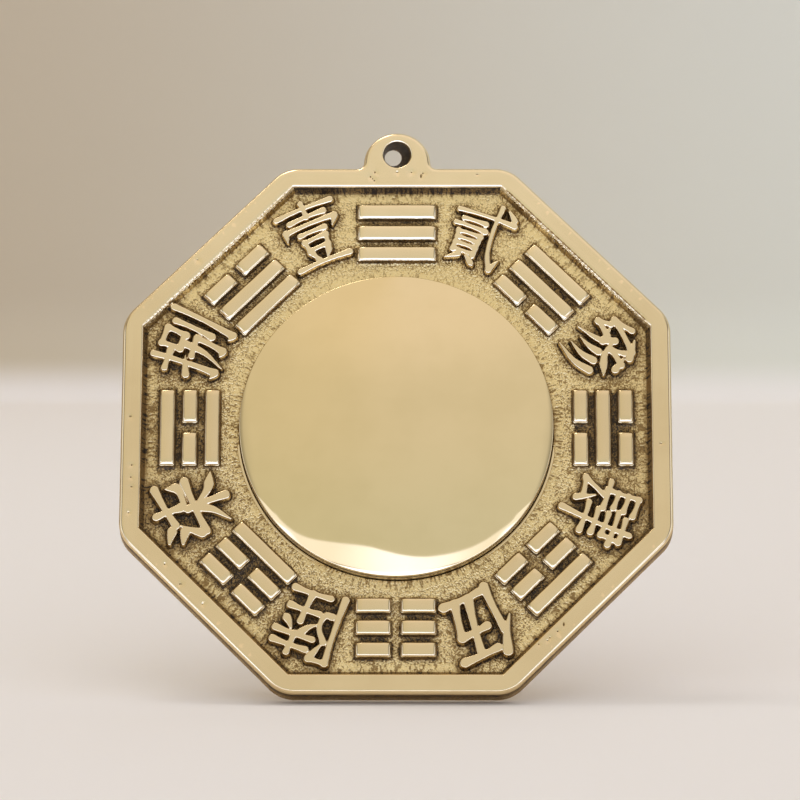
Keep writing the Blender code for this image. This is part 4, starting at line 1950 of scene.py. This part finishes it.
@dataclass(frozen=True)
class Room:
    """The soft room that the metal mirrors: walls, a bright low window in front, and side cards.

    The sill is the window's top edge: how far along the front each point is, from 0 on the left
    to 1 on the right, and its height.
    """

    low_wall: Triple = (0.765, 0.8, 0.81)
    high_wall: Triple = (0.845, 0.83, 0.83)
    ceiling: Triple = (0.99, 0.94, 0.95)
    left_tint: Triple = (0.97, 0.95, 0.86)
    wall_rise: Pair = (0.1, 0.75)
    ceiling_rise: Pair = (0.7, 1.0)
    tint_turn: Pair = (-0.7, 0.3)
    pane: Triple = (1.75, 1.95, 2.8)
    pane_aside: Triple = (1.28, 1.35, 1.64)
    pane_corner: Triple = (1.8, 2.2, 3.6)
    corner_start: Pair = (0.48, 0.58)
    corner_top: Pair = (0.17, 0.12)
    sill_edge: Pair = (0.006, -0.004)
    front_width: float = 0.4167
    sill_height: float = 0.5
    dim_right: Four = (0.61, 0.73, 1.0, 0.35)
    dim_left: Four = (-0.62, -0.73, 1.0, 0.45)
    card: Triple = (1.1, 1.2, 1.55)
    card_side: Pair = (0.83, 0.87)
    card_top: Pair = (0.5, 0.4)
    sill: tuple[Pair, ...] = (
        (0.0, 0.52), (0.2, 0.505), (0.243, 0.46), (0.262, 0.398), (0.28, 0.34), (0.305, 0.28),
        (0.335, 0.246), (0.38, 0.226), (0.44, 0.2), (0.475, 0.16), (0.51, 0.122), (0.55, 0.103),
        (0.58, 0.112), (0.63, 0.158), (0.664, 0.217), (0.697, 0.299), (0.732, 0.395), (0.755, 0.47),
        (0.8, 0.475), (1.0, 0.42),
    )

    def walls(self, board: Board, tall: Value, side: Value) -> Socket:
        """The room's colour, paler upwards and warmer on the left.

        Args:
            board: The world's board.
            tall: How far up a direction looks.
            side: How far to the right, as an angle.

        Returns:
            The colour's socket.
        """
        white = (1.0, 1.0, 1.0)
        walls = board.blend(board.step(tall, *self.wall_rise), self.low_wall, self.high_wall)
        walls = board.blend(board.step(tall, *self.ceiling_rise), walls, self.ceiling)
        tint = board.blend(board.step(side, *self.tint_turn), self.left_tint, white)
        return board.blend(1.0, walls, tint, "MULTIPLY")

    def window(self, board: Board, tall: Value, side: Value, aside: Value) -> tuple:
        """The window in front, bright in its middle and bluer at its far ends.

        Args:
            board: The world's board.
            tall: How far up a direction looks.
            side: How far to the right, as an angle.
            aside: How far it looks away from the window's middle.

        Returns:
            Where the window is, and its colour.
        """
        along = board.math("MULTIPLY_ADD", side, self.front_width, 0.5)
        sill = board.add("ShaderNodeFloatCurve", {"Value": along})
        curve = sill.mapping.curves[0]
        for point, location in zip(curve.points, (self.sill[0], self.sill[-1])):
            point.location = location
        for location in self.sill[1:-1]:
            curve.points.new(*location)
        sill.mapping.update()
        above = board.minus(tall, board.times(sill.outputs[0], self.sill_height))
        ends = board.step(board.size(side), *self.corner_start)
        ends = board.times(ends, board.step(tall, *self.corner_top))
        pane = board.blend(aside, self.pane, self.pane_aside)
        return board.step(above, *self.sill_edge), board.blend(ends, pane, self.pane_corner)

    def build(self, studio: "Studio", seen: Triple) -> None:
        """Makes the world, which the camera itself sees as one plain colour.

        Args:
            studio: The stage, for the plaque's lean.
            seen: The plain colour.
        """
        world = bpy.data.worlds.new("studio_room")
        bpy.context.scene.world = world
        world.use_nodes = True
        board = Board(world.node_tree)
        way = board.add("ShaderNodeTexCoord").outputs["Generated"]
        tall, wide = board.dot(way, tuple(studio.up())), board.parts(way)[0]
        side = board.math("ARCTAN2", wide, board.dot(way, studio.ahead()))
        window, pane = self.window(board, tall, side, studio.aside(board, side))
        lit = board.blend(window, self.walls(board, tall, side), pane)
        dimmed = board.times(board.step(wide, *self.dim_right), board.step(wide, *self.dim_left))
        lit = board.scaled(lit, dimmed)
        rays = board.add("ShaderNodeLightPath").outputs
        card = board.step(board.size(wide), *self.card_side)
        card = board.times(card, board.step(board.size(tall), *self.card_top))
        lit = board.blend(board.times(card, rays["Is Glossy Ray"]), lit, self.card)
        seen_or_lit = board.blend(rays["Is Camera Ray"], lit, seen)
        board.feed(world.node_tree.nodes["Background"], {"Color": seen_or_lit, "Strength": 1.0})


@dataclass(frozen=True)
class Softbox:
    """A soft square lamp that looks at the plaque."""

    name: str = "top_softbox"
    at: Triple = (-0.35, 0.25, 1.2)
    width: float = 0.9
    watts: float = 17.5
    tone: Triple = (0.95, 0.98, 1.0)

    def build(self) -> None:
        """Hangs the lamp."""
        light = bpy.data.lights.new(self.name, "AREA")
        light.size, light.energy, light.color = self.width, self.watts, self.tone
        lamp = shown(self.name, light)
        lamp.location = self.at
        lamp.rotation_euler = (-Vector(self.at)).to_track_quat("-Z", "Y").to_euler()


@dataclass(frozen=True)
class Viewpoint:
    """The photograph's viewpoint: a long lens, a little below the plaque's normal."""

    lens: float = 202.5
    sensor: float = 36.0
    at: Triple = (0.0074, -0.781996, -0.243857)
    right: Triple = (0.99997, 0.00782, 0.00269)
    up: Triple = (-0.00018, -0.30474, 0.95243)
    clip: Pair = (0.05, 20)

    def build(self) -> None:
        """Sets up the camera."""
        data = bpy.data.cameras.new("camera")
        data.lens, data.sensor_width = self.lens, self.sensor
        data.clip_start, data.clip_end = self.clip
        camera = shown("camera", data)
        right = Vector(self.right)
        back = right.cross(Vector(self.up))
        turn = Matrix((right, back.cross(right), back)).transposed()
        camera.matrix_world = Matrix.Translation(self.at) @ turn.to_4x4()
        bpy.context.scene.camera = camera


@dataclass
class Studio:
    """The floor with its backdrop, the room, the lamp and the camera."""

    lean: float = math.radians(24)
    floor_drop: float = 0.0502
    behind: float = 0.48
    bend: float = 0.03
    bend_steps: int = 17
    reach: float = 3.0
    middle: float = 0.05
    spread: float = 0.42
    paper: Paper = Paper()
    room: Room = Room()

    def up(self) -> Vector:
        """The true vertical: the plaque leans back from it."""
        return Vector((0, -math.sin(self.lean), math.cos(self.lean)))

    def ahead(self) -> Triple:
        """The level way out in front of the plaque."""
        return (0.0, -math.cos(self.lean), -math.sin(self.lean))

    def aside(self, board: Board, side: Value) -> Socket:
        """How far a direction turns away from the middle of the window, from 0 to 1."""
        return board.step(board.size(board.minus(side, self.middle)), 0.0, self.spread)

    def sweep(self) -> None:
        """A floor that bends up into a backdrop, seen only from its front."""
        profile = [(-self.reach, 0.0), (-1.0, 0.0), (0.0, 0.0), (self.behind, 0.0)]
        for angle in np.linspace(0, math.pi / 2, self.bend_steps)[1:]:
            run, rise = self.bend * math.sin(angle), self.bend * (1 - math.cos(angle))
            profile.append((self.behind + run, rise))
        profile.append((self.behind + self.bend, self.reach))
        back = Vector((0, math.cos(self.lean), math.sin(self.lean)))
        start = Vector((0, 0, -self.floor_drop))
        verts = []
        for x in (-self.reach, self.reach):
            verts += [start + back * d + self.up() * h + Vector((x, 0, 0)) for d, h in profile]
        count = len(profile)
        faces = [(i, i + count, i + count + 1, i + 1) for i in range(count - 1)]
        mesh = bpy.data.meshes.new("studio_sweep")
        mesh.from_pydata([tuple(v) for v in verts], [], faces)
        mesh.polygons.foreach_set("use_smooth", np.ones(len(faces), bool))
        note_on(mesh, "height", np.array([h for _, h in profile] * 2))
        mesh.materials.append(self.paper.build(self))
        sweep = shown("studio_sweep", mesh)
        sweep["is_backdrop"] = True

    def build(self) -> None:
        """Sets the stage."""
        self.sweep()
        self.room.build(self, self.paper.wall_right)
        Softbox().build()
        Viewpoint().build()
        bpy.context.scene.view_settings.view_transform = "Standard"


def write_sizes() -> None:
    """Works out the CAD box and the dressed model's box, and keeps neither."""
    boxes = {"cad": CAD_BOX, "visual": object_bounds()}
    {name: [list(corner) for corner in box] for name, box in boxes.items()}


def main() -> None:
    """Builds the pieces in order, says what each rides on, and sets the stage."""
    logging.basicConfig(level=logging.INFO, format="%(message)s")
    for old in [o for o in bpy.data.objects if o.type in ("LIGHT", "CAMERA")]:
        bpy.data.objects.remove(old)
    effects = Effects()
    ground = CastBrass("cast_field_brass").build(effects)
    drawn = {"lay": "lay", "even_grit": 0.4}
    rim = CastBrass("rim_brass", speckle=0.6, stretch=(60, 2600, 400), **drawn).build(effects)
    tops = CastBrass("bar_brass", stretch=(200, 1500, 600), **drawn).build(effects)
    settle(Casting().build(rim), "cast_plaque")
    for piece in Field().build(ground):
        settle(piece, "cast_plaque")
    settle(Bars().build(tops), "cast_plaque")
    settle(Mirror().build(MirrorPolish().build(effects)), "mirror_disc")
    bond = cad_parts["mirror_bond"]
    bond.data.materials.clear()
    bond.data.materials.append(CuredResin().build())
    LOG.info("mirror_bond: kept as it is, with its own finish")
    Studio().build()
    write_sizes()


if __name__ == "__main__":
    main()
